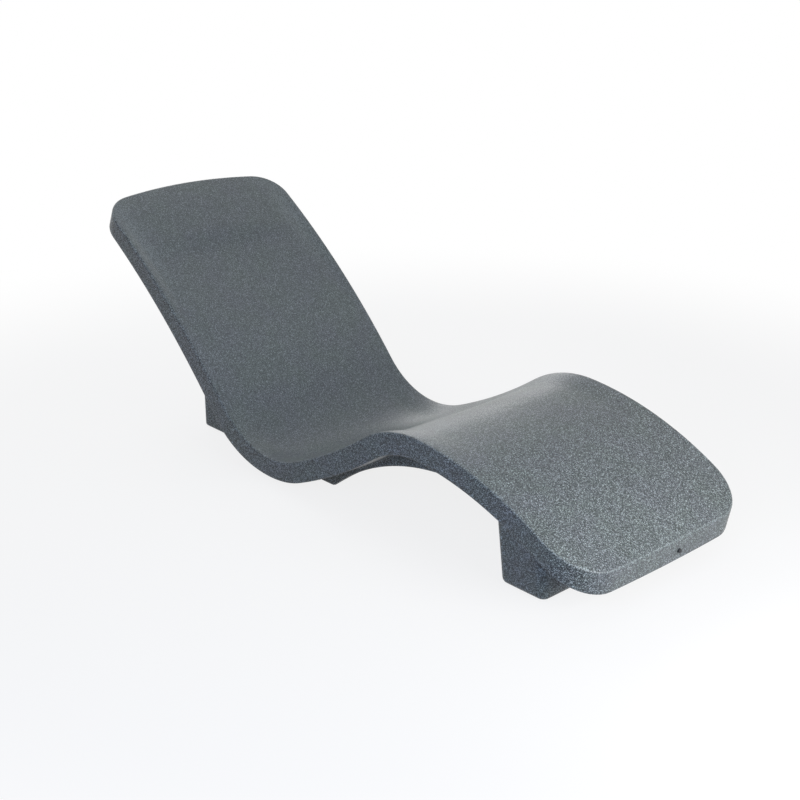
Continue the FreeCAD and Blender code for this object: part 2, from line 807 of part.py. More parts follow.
os.makedirs("parts", exist_ok=True)
for obj in nodes:
    obj.Shape.exportStep("parts/%s.step" % obj.Label)
    print("%-24s %d solids %12.1f mm3" % (obj.Label, len(obj.Shape.Solids), obj.Shape.Volume))
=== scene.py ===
import json
import logging
import math
from dataclasses import dataclass, field
from enum import Enum
from itertools import product
from typing import Callable, Optional, Sequence, Union

import bmesh
import bpy
import numpy as np
from mathutils import Matrix, Quaternion, Vector
from mathutils.kdtree import KDTree


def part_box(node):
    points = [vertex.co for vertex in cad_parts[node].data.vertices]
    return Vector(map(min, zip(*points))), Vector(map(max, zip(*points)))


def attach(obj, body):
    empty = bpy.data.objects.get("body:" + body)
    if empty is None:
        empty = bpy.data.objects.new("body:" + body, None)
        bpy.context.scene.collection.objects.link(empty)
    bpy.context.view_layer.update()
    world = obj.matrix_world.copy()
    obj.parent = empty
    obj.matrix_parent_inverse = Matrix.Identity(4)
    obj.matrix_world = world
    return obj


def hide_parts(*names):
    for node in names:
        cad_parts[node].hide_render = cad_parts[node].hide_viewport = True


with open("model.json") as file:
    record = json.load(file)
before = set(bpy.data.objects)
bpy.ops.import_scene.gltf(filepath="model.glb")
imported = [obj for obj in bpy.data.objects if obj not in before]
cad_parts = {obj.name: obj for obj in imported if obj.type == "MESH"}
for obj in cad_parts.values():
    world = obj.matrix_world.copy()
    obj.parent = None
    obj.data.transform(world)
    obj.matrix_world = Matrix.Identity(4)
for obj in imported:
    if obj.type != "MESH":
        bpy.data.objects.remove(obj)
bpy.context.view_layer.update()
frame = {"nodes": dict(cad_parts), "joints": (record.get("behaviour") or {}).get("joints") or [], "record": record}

log = logging.getLogger("lounger")

MM = 0.001
# Painted highlight: paler colour on the rounded top edge, with painted light bands on the head's rims and painted
# sheen at the knee.
PAINTED_HIGHLIGHT = "edge_wear"
# Paler tone over the seating face from the head to the knee, and painted light on the foot end.
PALE_SEAT_AND_LIT_END = "seat_polish"
BLACK = (0.0, 0.0, 0.0, 1.0)
WHITE = (1.0, 1.0, 1.0, 1.0)
SHARP_ANGLE = math.radians(38)

Number = Union[float, bpy.types.NodeSocket, "Value"]


# Node trees

class TreeBuilder:
    """Adds nodes to a shader or geometry tree."""

    def __init__(self, tree: bpy.types.NodeTree) -> None:
        """Keeps the tree that the nodes go into."""
        self.tree = tree

    def node(self, kind: str, settings: Optional[dict] = None,
             inputs: Optional[dict] = None) -> bpy.types.Node:
        """Adds one node, its settings first and then its sockets.

        Args:
            kind: The node's type name.
            settings: Properties of the node, such as its operation, or a ramp's stops under "stops".
            inputs: Socket name or number to a value, a Value or an output socket.

        Returns:
            The new node.
        """
        made = self.tree.nodes.new(kind)
        for name, value in (settings or {}).items():
            if name == "stops":
                self._set_stops(made.color_ramp, value)
            else:
                setattr(made, name, value)
        for name, value in (inputs or {}).items():
            self.feed(made.inputs[name], value)
        return made

    def feed(self, socket: bpy.types.NodeSocket, value: object) -> None:
        """Links or sets one input socket.

        Args:
            socket: The input socket.
            value: A Value, an output socket or a constant.
        """
        if isinstance(value, Value):
            value = value.socket
        if isinstance(value, bpy.types.NodeSocket):
            self.tree.links.new(value, socket)
        else:
            socket.default_value = value

    def vector(self, operation: str, inputs: dict) -> bpy.types.bpy_prop_collection:
        """Adds one Vector Math node and returns its outputs."""
        return self.node("ShaderNodeVectorMath", {"operation": operation}, inputs).outputs

    def smooth_range(self, number: object, low: Number, high: Number, first: float = 0.0,
                     last: float = 1.0) -> "Value":
        """Goes smoothly from one number to another.

        Args:
            number: The number that it follows.
            low: Where it starts.
            high: Where it ends.
            first: Its value up to the start.
            last: Its value from the end on.

        Returns:
            The new number.
        """
        made = self.node("ShaderNodeMapRange", {"interpolation_type": "SMOOTHSTEP"}, {
            "Value": number, "From Min": low, "From Max": high, "To Min": first, "To Max": last})
        return Value(self, made.outputs[0])

    def seen(self) -> "Value":
        """1 for what the camera sees, itself or in gloss or glass, and 0 for what only lights."""
        rays = self.node("ShaderNodeLightPath").outputs
        return Value(self, rays["Is Camera Ray"]) + rays["Is Glossy Ray"] + rays["Is Transmission Ray"]

    @staticmethod
    def _set_stops(ramp: bpy.types.ColorRamp, stops: Sequence[tuple]) -> None:
        """Writes a colour ramp's stops, given as place and colour pairs."""
        while len(ramp.elements) < len(stops):
            ramp.elements.new(1.0)
        for element, (place, colour) in zip(ramp.elements, stops):
            element.position = place
            element.color = colour


class Value:
    """A shader output that can be used in sums; each sum adds its Math node."""

    def __init__(self, builder: TreeBuilder, socket: bpy.types.NodeSocket) -> None:
        """Keeps the socket of the number, and the builder that adds the Math nodes."""
        self.builder = builder
        self.socket = socket

    def _sum(self, operation: str, first: "Number", second: "Number") -> "Value":
        """Adds a Math node and returns its result."""
        made = self.builder.node("ShaderNodeMath", {"operation": operation}, {0: first, 1: second})
        return Value(self.builder, made.outputs[0])

    def __add__(self, other: Number) -> "Value":
        """Sum of two numbers."""
        return self._sum("ADD", self, other)

    __radd__ = __add__

    def __sub__(self, other: Number) -> "Value":
        """Difference of two numbers."""
        return self._sum("SUBTRACT", self, other)

    def __rsub__(self, other: Number) -> "Value":
        """Difference of two numbers, this one taken away."""
        return self._sum("SUBTRACT", other, self)

    def __mul__(self, other: Number) -> "Value":
        """Product of two numbers."""
        return self._sum("MULTIPLY", self, other)

    __rmul__ = __mul__

    def __truediv__(self, other: Number) -> "Value":
        """Quotient of two numbers."""
        return self._sum("DIVIDE", self, other)

    def __rtruediv__(self, other: Number) -> "Value":
        """Quotient of two numbers, divided by this one."""
        return self._sum("DIVIDE", other, self)


class GeometryTree(TreeBuilder):
    """A geometry tree with named inputs, which ends in plain geometry with one material."""

    def __init__(self, name: str, inputs: dict) -> None:
        """Starts the tree.

        Args:
            name: The tree's name.
            inputs: Name of each input to its socket type.
        """
        super().__init__(bpy.data.node_groups.new(name, "GeometryNodeTree"))
        sockets = {"Geometry": "NodeSocketGeometry", **inputs, "Finish": "NodeSocketMaterial"}
        for label, kind in sockets.items():
            self.tree.interface.new_socket(label, in_out="INPUT", socket_type=kind)
        self.tree.interface.new_socket("Geometry", in_out="OUTPUT", socket_type="NodeSocketGeometry")
        self.given = self.node("NodeGroupInput").outputs

    def shape_of(self, label: str) -> bpy.types.NodeSocket:
        """Geometry of the object that is given under a name."""
        info = self.node("GeometryNodeObjectInfo", {"transform_space": "ORIGINAL"},
                         {"Object": self.given[label]})
        return info.outputs["Geometry"]

    def end(self, geometry: bpy.types.NodeSocket) -> None:
        """Makes the geometry real, gives it the finish and hands it out."""
        real = self.node("GeometryNodeRealizeInstances", None, {0: geometry}).outputs[0]
        dressed = self.node("GeometryNodeSetMaterial", None,
                            {"Geometry": real, "Material": self.given["Finish"]})
        self.node("NodeGroupOutput", None, {0: dressed.outputs[0]})

    def attach(self, piece: bpy.types.Object, values: dict) -> None:
        """Adds the tree to a piece as a modifier.

        Args:
            piece: The object that the tree changes.
            values: Input name to value.
        """
        modifier = piece.modifiers.new(self.tree.name, "NODES")
        modifier.node_group = self.tree
        for item in self.tree.interface.items_tree:
            if item.in_out == "INPUT" and item.name in values:
                modifier[item.identifier] = values[item.name]


class Blend(Enum):
    """How two colours are mixed."""

    OVER = "MIX"
    MULTIPLIED = "MULTIPLY"


class MaterialBuilder(TreeBuilder):
    """Builds one node-based material round a Principled shader."""

    def __init__(self, name: str) -> None:
        """Starts an empty material.

        Args:
            name: The material's name.
        """
        self.material = bpy.data.materials.new(name)
        self.material.use_nodes = True
        self.material.node_tree.nodes.clear()
        super().__init__(self.material.node_tree)
        self.position = self.node("ShaderNodeTexCoord").outputs["Object"]

    def noise(self, size: float, detail: float = 2.0, roughness: float = 0.5) -> Value:
        """Soft noise, about 0.5 on average, with blobs of a size in metres and finer layers in them."""
        made = self.node("ShaderNodeTexNoise", {"noise_dimensions": "3D"}, {
            "Vector": self.position, "Scale": 1 / size, "Detail": detail, "Roughness": roughness})
        return Value(self, made.outputs[0])

    def grains(self, size: float) -> Value:
        """Random number for each small grain of material.

        Args:
            size: Width of a grain, in metres.

        Returns:
            A number from 0 to 1, the same all over one grain.
        """
        made = self.node("ShaderNodeTexVoronoi", {"feature": "F1"},
                         {"Vector": self.position, "Scale": 1 / size})
        parts = self.node("ShaderNodeSeparateColor", None, {"Color": made.outputs["Color"]})
        return Value(self, parts.outputs[0])

    def attribute(self, name: str) -> Value:
        """A number that the mesh stores at its points."""
        return Value(self, self.node("ShaderNodeAttribute", {"attribute_name": name}).outputs["Fac"])

    def ramp(self, factor: Number, stops: Sequence[tuple]) -> bpy.types.NodeSocket:
        """Colours along a number, from place and colour pairs."""
        return self.node("ShaderNodeValToRGB", {"stops": stops}, {"Fac": factor}).outputs["Color"]

    def mix(self, factor: Number, first: object, second: object,
            blend: Blend = Blend.OVER) -> bpy.types.NodeSocket:
        """Mixes two colours.

        Args:
            factor: Share of the second colour.
            first: Colour or colour socket.
            second: Colour or colour socket.
            blend: How they are mixed.

        Returns:
            The mixed colour's socket.
        """
        made = self.node("ShaderNodeMix", {"data_type": "RGBA", "blend_type": blend.value},
                         {0: factor, 6: first, 7: second})
        return made.outputs[2]

    def bump(self, height: Number, depth: float) -> bpy.types.NodeSocket:
        """Normal of a fine relief, whose height from 0 to 1 is the depth in metres."""
        return self.node("ShaderNodeBump", None, {"Height": height, "Distance": depth}).outputs["Normal"]

    def finish(self, **sockets: object) -> bpy.types.Material:
        """Adds the Principled shader and the output.

        Args:
            **sockets: Socket names of the shader, spaces written as underscores, to values or links.

        Returns:
            The material.
        """
        named = {name.replace("_", " "): value for name, value in sockets.items()}
        shader = self.node("ShaderNodeBsdfPrincipled", None, named)
        self.node("ShaderNodeOutputMaterial", None, {"Surface": shader.outputs[0]})
        return self.material


def shade(level: float, tint: tuple = (1.0, 1.0, 1.0)) -> tuple:
    """A linear brightness with a tint, as red, green, blue and alpha."""
    return tuple(level * part for part in tint) + (1.0,)


# Finishes

class Finish(Enum):
    """The record's material slots."""

    SHELL = "shell_plastic"
    FITTING = "fitting_plastic"
    SEAL = "seal_rubber"
    PAD = "pad_rubber"
    STEEL = "stainless_steel"
    BRASS = "insert_brass"


@dataclass(frozen=True)
class StoneSpeckle:
    """Rotationally moulded plastic with dark and pale stone flecks all through it.

    The seating face is paler and smoother from the head to the knee. The foot end is painted paler as painted
    light, and a painted highlight runs along the rounded top edge, with painted light bands on the head's rims and
    a painted sheen at the knee.
    """

    tint: tuple = (0.89, 1.0, 0.985)
    fleck: float = 1.7 * MM
    fine_fleck: float = 1.1 * MM
    fine_share: float = 0.15
    fleck_levels: tuple = ((0.0, 0.008), (0.32, 0.025), (0.54, 0.120), (0.80, 0.240), (1.0, 0.800))
    # Paler tone of the seating face; on the foot end it is painted light.
    pale_level: float = 0.215
    pale_share: float = 0.48
    rubbed_gloss: float = 0.2
    mottle_size: float = 0.09
    mottle_stops: tuple = ((0.35, (1.0, 0.985, 1.03, 1.0)), (0.65, (0.985, 1.01, 0.985, 1.0)))
    mottle_gloss: float = 0.08
    # Painted highlight on the rounded top edge, painted light bands and painted sheen: their level, share and
    # fleck breaking.
    highlight_level: float = 0.36
    highlight_share: float = 0.75
    highlight_stops: tuple = ((0.25, BLACK), (0.55, WHITE))
    roughness: float = 0.46
    gloss: float = 0.35
    peel_size: float = 2.2 * MM
    peel_depth: float = 0.05 * MM
    peel_gloss: float = 0.10

    def _flecks(self, build: MaterialBuilder, size: float) -> bpy.types.NodeSocket:
        """Colour of one layer of flecks."""
        stops = [(place, shade(level, self.tint)) for place, level in self.fleck_levels]
        return build.ramp(build.grains(size), stops)

    def make(self) -> bpy.types.Material:
        """Builds the material."""
        build = MaterialBuilder("stone_speckle")
        coarse, fine = (self._flecks(build, size) for size in (self.fleck, self.fine_fleck))
        stone = build.mix(self.fine_share, coarse, fine)
        # Seating face mixed towards a paler tone, and painted light on the foot end.
        pale_tone = build.attribute(PALE_SEAT_AND_LIT_END) * self.pale_share
        stone = build.mix(pale_tone, stone, shade(self.pale_level, self.tint))
        patch = build.noise(self.mottle_size, detail=3.0)
        stone = build.mix(1.0, stone, build.ramp(patch, self.mottle_stops), Blend.MULTIPLIED)
        # Painted highlight on the rounded top edge, painted light bands on the head's rims and painted sheen at
        # the knee, broken up by the flecks.
        broken = build.ramp(build.grains(self.fleck), self.highlight_stops)
        worn = build.attribute(PAINTED_HIGHLIGHT) * Value(build, broken) * self.highlight_share
        stone = build.mix(worn, stone, shade(self.highlight_level, self.tint))
        peel = build.noise(self.peel_size, detail=3.0, roughness=0.6)
        roughness = self.roughness + self.peel_gloss * (peel - 0.5) + self.mottle_gloss * (patch - 0.5)
        return build.finish(Base_Color=stone, Roughness=roughness - self.rubbed_gloss * pale_tone,
                            Specular_IOR_Level=self.gloss, Normal=build.bump(peel, self.peel_depth))


@dataclass(frozen=True)
class MouldedPlastic:
    """Plain dark injection-moulded plastic of the screw fittings."""

    level: float = 0.028
    tint: tuple = (0.95, 1.0, 1.05)
    worn_level: float = 0.042
    worn_size: float = 9 * MM
    worn_gloss: float = 0.16
    roughness: float = 0.42
    texture_size: float = 0.5 * MM
    texture_depth: float = 0.02 * MM
    texture_gloss: float = 0.1

    def make(self) -> bpy.types.Material:
        """Builds the material."""
        build = MaterialBuilder("moulded_plastic")
        texture = build.noise(self.texture_size)
        worn = build.noise(self.worn_size, detail=4.0)
        colour = build.ramp(worn, [(0.3, shade(self.level, self.tint)),
                                   (0.75, shade(self.worn_level, self.tint))])
        roughness = self.roughness + self.worn_gloss * (worn - 0.5) + self.texture_gloss * (texture - 0.5)
        return build.finish(Base_Color=colour, Roughness=roughness,
                            Normal=build.bump(texture, self.texture_depth))


@dataclass(frozen=True)
class Rubber:
    """Matt black rubber with a dusty bloom."""

    name: str = "pad_rubber"
    level: float = 0.016
    bloom: float = 0.04
    bloom_size: float = 7 * MM
    bloom_gloss: float = 0.12
    roughness: float = 0.78
    grain: float = 0.8 * MM
    grain_depth: float = 0.03 * MM

    def make(self) -> bpy.types.Material:
        """Builds the material."""
        build = MaterialBuilder(self.name)
        dust = build.noise(self.bloom_size, detail=5.0, roughness=0.65)
        grain = build.noise(self.grain)
        colour = build.ramp(dust, [(0.35, shade(self.level)), (0.8, shade(self.bloom))])
        roughness = self.roughness + self.bloom_gloss * (dust - 0.5)
        return build.finish(Base_Color=colour, Roughness=roughness,
                            Normal=build.bump(grain, self.grain_depth))


@dataclass(frozen=True)
class TurnedMetal:
    """Metal with fine machining marks and darker stains."""

    name: str
    colour: tuple
    roughness: float = 0.28
    mark_pitch: float = 0.25 * MM
    mark_depth: float = 0.01 * MM
    mark_gloss: float = 0.2
    stain_size: float = 5 * MM
    stain_share: float = 0.75

    def make(self) -> bpy.types.Material:
        """Builds the material."""
        build = MaterialBuilder(self.name)
        marks = build.noise(self.mark_pitch)
        stain = build.noise(self.stain_size, detail=3.0)
        colour = build.ramp(stain, [(0.3, shade(self.stain_share, self.colour)),
                                    (0.7, shade(1.0, self.colour))])
        roughness = self.roughness + self.mark_gloss * (marks - 0.5)
        return build.finish(Base_Color=colour, Metallic=1.0, Roughness=roughness,
                            Normal=build.bump(marks, self.mark_depth))


def make_finishes() -> dict:
    """Makes one material for each slot of the record, by finish."""
    return {
        Finish.SHELL: StoneSpeckle().make(),
        Finish.FITTING: MouldedPlastic().make(),
        Finish.SEAL: Rubber(name="seal_rubber", level=0.01, bloom=0.02, roughness=0.55).make(),
        Finish.PAD: Rubber().make(),
        Finish.STEEL: TurnedMetal("stainless_steel", (0.62, 0.62, 0.60)).make(),
        Finish.BRASS: TurnedMetal("insert_brass", (0.75, 0.55, 0.26), roughness=0.32).make(),
    }


# Meshes

def new_piece(name: str, points: np.ndarray, faces: Sequence[Sequence[int]]) -> bpy.types.Object:
    """Makes a smooth mesh object with its faces turned outwards.

    Args:
        name: The piece's name.
        points: Its corners, one row each, in metres.
        faces: Corner numbers of each face.

    Returns:
        The new object, in the scene.
    """
    mesh = bpy.data.meshes.new(name)
    mesh.from_pydata([tuple(point) for point in points], [], [tuple(face) for face in faces])
    work = bmesh.new()
    work.from_mesh(mesh)
    bmesh.ops.remove_doubles(work, verts=work.verts, dist=0.001 * MM)
    bmesh.ops.recalc_face_normals(work, faces=work.faces)
    for face in work.faces:
        face.smooth = True
    work.to_mesh(mesh)
    work.free()
    piece = bpy.data.objects.new(name, mesh)
    bpy.context.scene.collection.objects.link(piece)
    return piece


def corners_of(piece: bpy.types.Object) -> np.ndarray:
    """Corners of a piece's mesh, one row each."""
    return np.array([vertex.co for vertex in piece.data.vertices])


def apply_modifiers(piece: bpy.types.Object) -> bpy.types.Object:
    """Turns a piece's modifiers into its own plain mesh.

    Args:
        piece: The object with modifiers.

    Returns:
        The same object.
    """
    graph = bpy.context.evaluated_depsgraph_get()
    mesh = bpy.data.meshes.new_from_object(piece.evaluated_get(graph), depsgraph=graph)
    piece.modifiers.clear()
    piece.data = mesh
    return piece


class Join(Enum):
    """How other solids change a piece."""

    ADD = "UNION"
    CUT = "DIFFERENCE"


def combine(piece: bpy.types.Object, others: Sequence[bpy.types.Object], join: Join) -> bpy.types.Object:
    """Joins other closed solids to a piece or cuts them out of it, and deletes them.

    Args:
        piece: The solid that is kept.
        others: The solids that are joined or cut out.
        join: Whether they are joined or cut out.

    Returns:
        The changed piece.
    """
    for other in others:
        change = piece.modifiers.new(join.name, "BOOLEAN")
        change.operation = join.value
        change.solver = "EXACT"
        change.object = other
    apply_modifiers(piece)
    for other in others:
        bpy.data.objects.remove(other)
    return piece


class PointValues:
    """Numbers at a mesh's points, which are given back to them after the mesh was joined and cut."""

    def __init__(self, points: np.ndarray, values: dict) -> None:
        """Keeps the points and their numbers.

        Args:
            points: Places of the points, one row each.
            values: Attribute name to one number for each point.
        """
        self.values = values
        self.tree = KDTree(len(points))
        for number, point in enumerate(points):
            self.tree.insert(point, number)
        self.tree.balance()

    def give(self, piece: bpy.types.Object, reach: float = 0.02 * MM) -> None:
        """Writes the numbers to the points of a piece that are still in their places, and 0 to the others.

        Args:
            piece: The piece that gets the attributes.
            reach: Furthest that a point may have moved.
        """
        found = [self.tree.find(vertex.co) for vertex in piece.data.vertices]
        numbers = np.array([number for _, number, _ in found])
        near = np.array([distance for _, _, distance in found]) < reach
        for name, values in self.values.items():
            marks = piece.data.attributes.new(name, "FLOAT", "POINT")
            marks.data.foreach_set("value", np.where(near, values[numbers], 0.0))


def dress(piece: bpy.types.Object, finish: Finish, finishes: dict) -> None:
    """Gives a piece or a CAD node one material."""
    piece.data.materials.clear()
    piece.data.materials.append(finishes[finish])


def smooth_step(share: np.ndarray) -> np.ndarray:
    """Goes smoothly from 0 to 1 as the share does, and stays there outside it."""
    share = np.clip(share, 0.0, 1.0)
    return share * share * (3 - 2 * share)


@dataclass(frozen=True)
class PlanEnd:
    """One end of a plan: how far its edge bows out in the middle, and its round corners."""

    bow: float
    corner: float

    def circle(self, half_width: float) -> float:
        """Radius of the bowed edge."""
        return (half_width ** 2 + self.bow ** 2) / (2 * self.bow)

    def edge(self, half_width: float, inset: float, across: np.ndarray) -> np.ndarray:
        """Distance from the end's tip to its bowed edge."""
        circle = self.circle(half_width)
        return circle - np.sqrt(np.maximum((circle - inset) ** 2 - across ** 2, 0))

    def corner_arc(self, half_width: float, inset: float, steps: int) -> tuple:
        """One round corner, from the end's edge to the long side.

        Args:
            half_width: Half width of the plan.
            inset: Distance from the outline.
            steps: Number of steps along the arc.

        Returns:
            Distances from the end's tip, and half widths there.
        """
        centre_y = half_width - self.corner
        reach = self.circle(half_width) - self.corner
        centre = self.circle(half_width) - math.sqrt(reach ** 2 - centre_y ** 2)
        turn = np.linspace(math.asin(centre_y / reach), math.pi / 2, steps + 1)
        radius = self.corner - inset
        return centre - radius * np.cos(turn), centre_y + radius * np.sin(turn)


@dataclass(frozen=True)
class PlanGrid:
    """A plan outline with round corners, filled by a grid whose border is the outline.

    Rows run across the plan from its low end to its high end. A negative inset makes the outline larger.
    """

    low: float
    high: float
    half_width: float
    low_end: PlanEnd
    high_end: PlanEnd
    corner_steps: int = 12
    length_steps: int = 120
    width_steps: int = 48
    edge_crowding: float = 0.55
    bow_reach: float = 4.0

    def stations(self, inset: float) -> tuple:
        """Where the rows end on the long side.

        Args:
            inset: Distance from the outline.

        Returns:
            Places along the plan and half widths, one for each row.
        """
        low_x, low_y = self.low_end.corner_arc(self.half_width, inset, self.corner_steps)
        high_x, high_y = self.high_end.corner_arc(self.half_width, inset, self.corner_steps)
        first = self.low + low_x
        last = self.high - high_x[::-1]
        middle = np.linspace(first[-1], last[0], self.length_steps + 1)[1:-1]
        halves = [low_y, np.full(len(middle), self.half_width - inset), high_y[::-1]]
        return np.concatenate([first, middle, last]), np.concatenate(halves)

    def grid(self, inset: float) -> np.ndarray:
        """All points of the grid.

        Args:
            inset: Distance of the grid's border from the outline.

        Returns:
            Array of rows, columns and two plan coordinates.
        """
        places, halves = self.stations(inset)
        share = np.linspace(-1, 1, self.width_steps + 1)
        share = (1 - self.edge_crowding) * share + self.edge_crowding * np.sin(share * math.pi / 2)
        across = halves[:, None] * share[None, :]
        along = np.repeat(places[:, None], len(share), axis=1)
        for row, end, tip, way in ((0, self.low_end, self.low, 1), (-1, self.high_end, self.high, -1)):
            edge = tip + way * end.edge(self.half_width, inset, across[row])
            fade = 1 - smooth_step(np.abs(places - places[row]) / (self.bow_reach * end.corner))
            along += (edge - places[row])[None, :] * fade[:, None]
        return np.stack([along, across], axis=-1)

    def edge(self, inset: float) -> np.ndarray:
        """Border of the grid at an inset."""
        return border(self.grid(inset))


def border(grid: np.ndarray) -> np.ndarray:
    """The border of a grid as one loop of points."""
    return np.concatenate([grid[0, :-1], grid[:-1, -1], grid[-1, :0:-1], grid[:0:-1, 0]])


def band(upper: np.ndarray, lower: np.ndarray) -> list:
    """Faces between two loops of points, given as their numbers."""
    return np.stack([upper, np.roll(upper, -1), np.roll(lower, -1), lower], -1).tolist()


def loft(name: str, top: np.ndarray, rings: Sequence[np.ndarray], bottom: np.ndarray) -> bpy.types.Object:
    """Makes a closed solid from two grids and the rings between their borders.

    Args:
        name: The piece's name.
        top: Grid of points of one face.
        rings: Loops of points, as border() orders them, from the top to the bottom.
        bottom: Grid of points of the other face.

    Returns:
        The new object.
    """
    rows, columns = top.shape[:2]
    numbers = np.arange(rows * columns).reshape(rows, columns)
    count = numbers.size
    points = [top.reshape(-1, 3)]
    loops = [border(numbers)]
    for ring in rings:
        points.append(ring)
        loops.append(np.arange(count, count + len(ring)))
        count += len(ring)
    points.append(bottom.reshape(-1, 3))
    loops.append(border(numbers + count))
    faces = []
    for start in (0, count):
        quads = numbers + start
        corners = [quads[:-1, :-1], quads[1:, :-1], quads[1:, 1:], quads[:-1, 1:]]
        faces += np.stack(corners, -1).reshape(-1, 4).tolist()
    for upper, lower in zip(loops, loops[1:]):
        faces += band(upper, lower)
    return new_piece(name, np.concatenate(points), faces)


# Shell

@dataclass(frozen=True)
class Bend:
    """One tangent arc of the side line, with the slopes at its ends in degrees."""

    slope_from: float
    slope_to: float
    radius: float

    def length(self) -> float:
        """Length along the arc."""
        return abs(math.radians(self.slope_to - self.slope_from)) * self.radius


@dataclass(frozen=True)
class SideLine:
    """Side line of the seating face, from the head to the foot end, as a chain of tangent arcs."""

    back: Bend = Bend(-30.74, -48.45, 2.556)
    seat: Bend = Bend(-48.45, 22.72, 0.2703)
    rise: Bend = Bend(22.72, 34.80, 1.5695)
    knee: Bend = Bend(34.80, -3.90, 0.3155)
    calf: Bend = Bend(-3.90, -28.33, 0.948)
    straight: float = 0.1545
    seat_height: float = 0.076
    head_depth: float = 0.061
    back_depth: float = 0.0695
    seat_depth: float = 0.0595
    knee_depth: float = 0.0605
    end_height: float = 0.068

    def bends(self) -> tuple:
        """The arcs in order."""
        return (self.back, self.seat, self.rise, self.knee, self.calf)

    def length(self) -> float:
        """Whole length of the line."""
        return sum(bend.length() for bend in self.bends()) + self.straight

    def straight_start(self) -> float:
        """Place along the line where its last bend ends."""
        return self.length() - self.straight

    def end_slope(self) -> float:
        """Slope of the last straight, in radians."""
        return math.radians(self.calf.slope_to)

    def slope(self, along: np.ndarray) -> np.ndarray:
        """Slope in radians at places along the line."""
        ends = [0.0]
        slopes = [self.back.slope_from]
        for bend in self.bends():
            ends.append(ends[-1] + bend.length())
            slopes.append(bend.slope_to)
        return np.radians(np.interp(along, ends, slopes))

    def trace(self, step: float = 0.5 * MM) -> tuple:
        """The line as points close together, placed by the shell's box and the seat's height.

        Args:
            step: Distance between the points.

        Returns:
            Places along the line, and X and Z there.
        """
        count = int(round(self.length() / step))
        along = np.linspace(0, self.length(), count + 1)
        middle = self.slope((along[1:] + along[:-1]) / 2)
        span = np.diff(along)
        x = np.concatenate([[0.0], np.cumsum(np.cos(middle) * span)])
        z = np.concatenate([[0.0], np.cumsum(np.sin(middle) * span)])
        seat = along < self.back.length() + self.seat.length()
        z += self.seat_height - z[seat].min()
        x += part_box("shell")[1].x - x[-1]
        return along, x, z

    def depth(self, along: np.ndarray) -> np.ndarray:
        """Depth of the slab, square to the line."""
        back_end = self.back.length()
        seat_end = back_end + self.seat.length()
        level_share = self.seat.slope_from / (self.seat.slope_from - self.seat.slope_to)
        seat_low = back_end + self.seat.length() * level_share
        end_depth = self.end_height * math.cos(self.end_slope())
        depth = self.head_depth + (self.back_depth - self.head_depth) * smooth_step(along / back_end)
        depth += (self.seat_depth - self.back_depth) * smooth_step((along - back_end) / (seat_low - back_end))
        depth += (self.knee_depth - self.seat_depth) * smooth_step((along - seat_low) / (seat_end - seat_low))
        share = np.clip((along - self.straight_start()) / self.straight, 0, 1)
        return depth + (end_depth - self.knee_depth) * share


@dataclass(frozen=True)
class Dent:
    """One soft dent in the seating face; a negative depth makes a swell."""

    along: float
    across: float
    before: float
    after: float
    width: float
    depth: float

    def at(self, along: np.ndarray, across: np.ndarray) -> np.ndarray:
        """Depth of the dent at places of the seating face."""
        past = along - self.along
        reach = (past / np.where(past < 0, self.before, self.after)) ** 2
        return self.depth * np.maximum(1 - reach - ((across - self.across) / self.width) ** 2, 0) ** 2


@dataclass(frozen=True)
class Tray:
    """A shallow dish between soft side rims, over a stretch of the seating face."""

    rim_height: float
    rim_width: float
    bowl: float
    grows_from: float
    grows_to: float
    fades_from: float
    fades_to: float
    rim_start: float = 4 * MM
    bowl_power: float = 1.56

    def at(self, half_width: float, along: np.ndarray, across: np.ndarray) -> np.ndarray:
        """Depth of the dish.

        Args:
            half_width: Half width of the slab.
            along: Places along the side line.
            across: Places across the lounger.

        Returns:
            Depths below the side line.
        """
        grows = smooth_step((along - self.grows_from) / (self.grows_to - self.grows_from))
        fades = 1 - smooth_step((along - self.fades_from) / (self.fades_to - self.fades_from))
        inside = smooth_step((half_width - np.abs(across) - self.rim_start) / self.rim_width)
        bowl = 1 - np.clip(np.abs(across) / half_width, 0, 1) ** self.bowl_power
        return grows * fades * (self.rim_height * inside + self.bowl * bowl)


@dataclass(frozen=True)
class Relief:
    """Shaping of the seating face: dishes at the head and from the seat over the knee, and soft dents."""

    trays: tuple = (
        Tray(8 * MM, 36 * MM, 0.0, 0.01, 0.27, 0.30, 0.66),
        Tray(13.6 * MM, 91 * MM, 6.3 * MM, 0.72, 1.10, 1.52, 1.92),
    )
    dents: tuple = (
        Dent(0.285, -0.02, 0.085, 0.42, 0.31, 14.0 * MM),
        Dent(0.72, -0.12, 0.07, 0.07, 0.11, 1.6 * MM),
    )

    def depth(self, half_width: float, along: np.ndarray, across: np.ndarray) -> np.ndarray:
        """Depth of the relief below the side line, at places along it and across the lounger."""
        trays = sum(tray.at(half_width, along, across) for tray in self.trays)
        return trays + sum(dent.at(along, across) for dent in self.dents)


@dataclass(frozen=True)
class LightSpot:
    """A soft patch of painted light on the seating face, the same on both sides."""

    along: float
    length: float
    across: float
    width: float
    share: float

    def at(self, along: np.ndarray, across: np.ndarray) -> np.ndarray:
        """Strength of the painted light at places of the seating face."""
        reach = ((along - self.along) / self.length) ** 2 + ((np.abs(across) - self.across) / self.width) ** 2
        return self.share * np.exp(-reach)


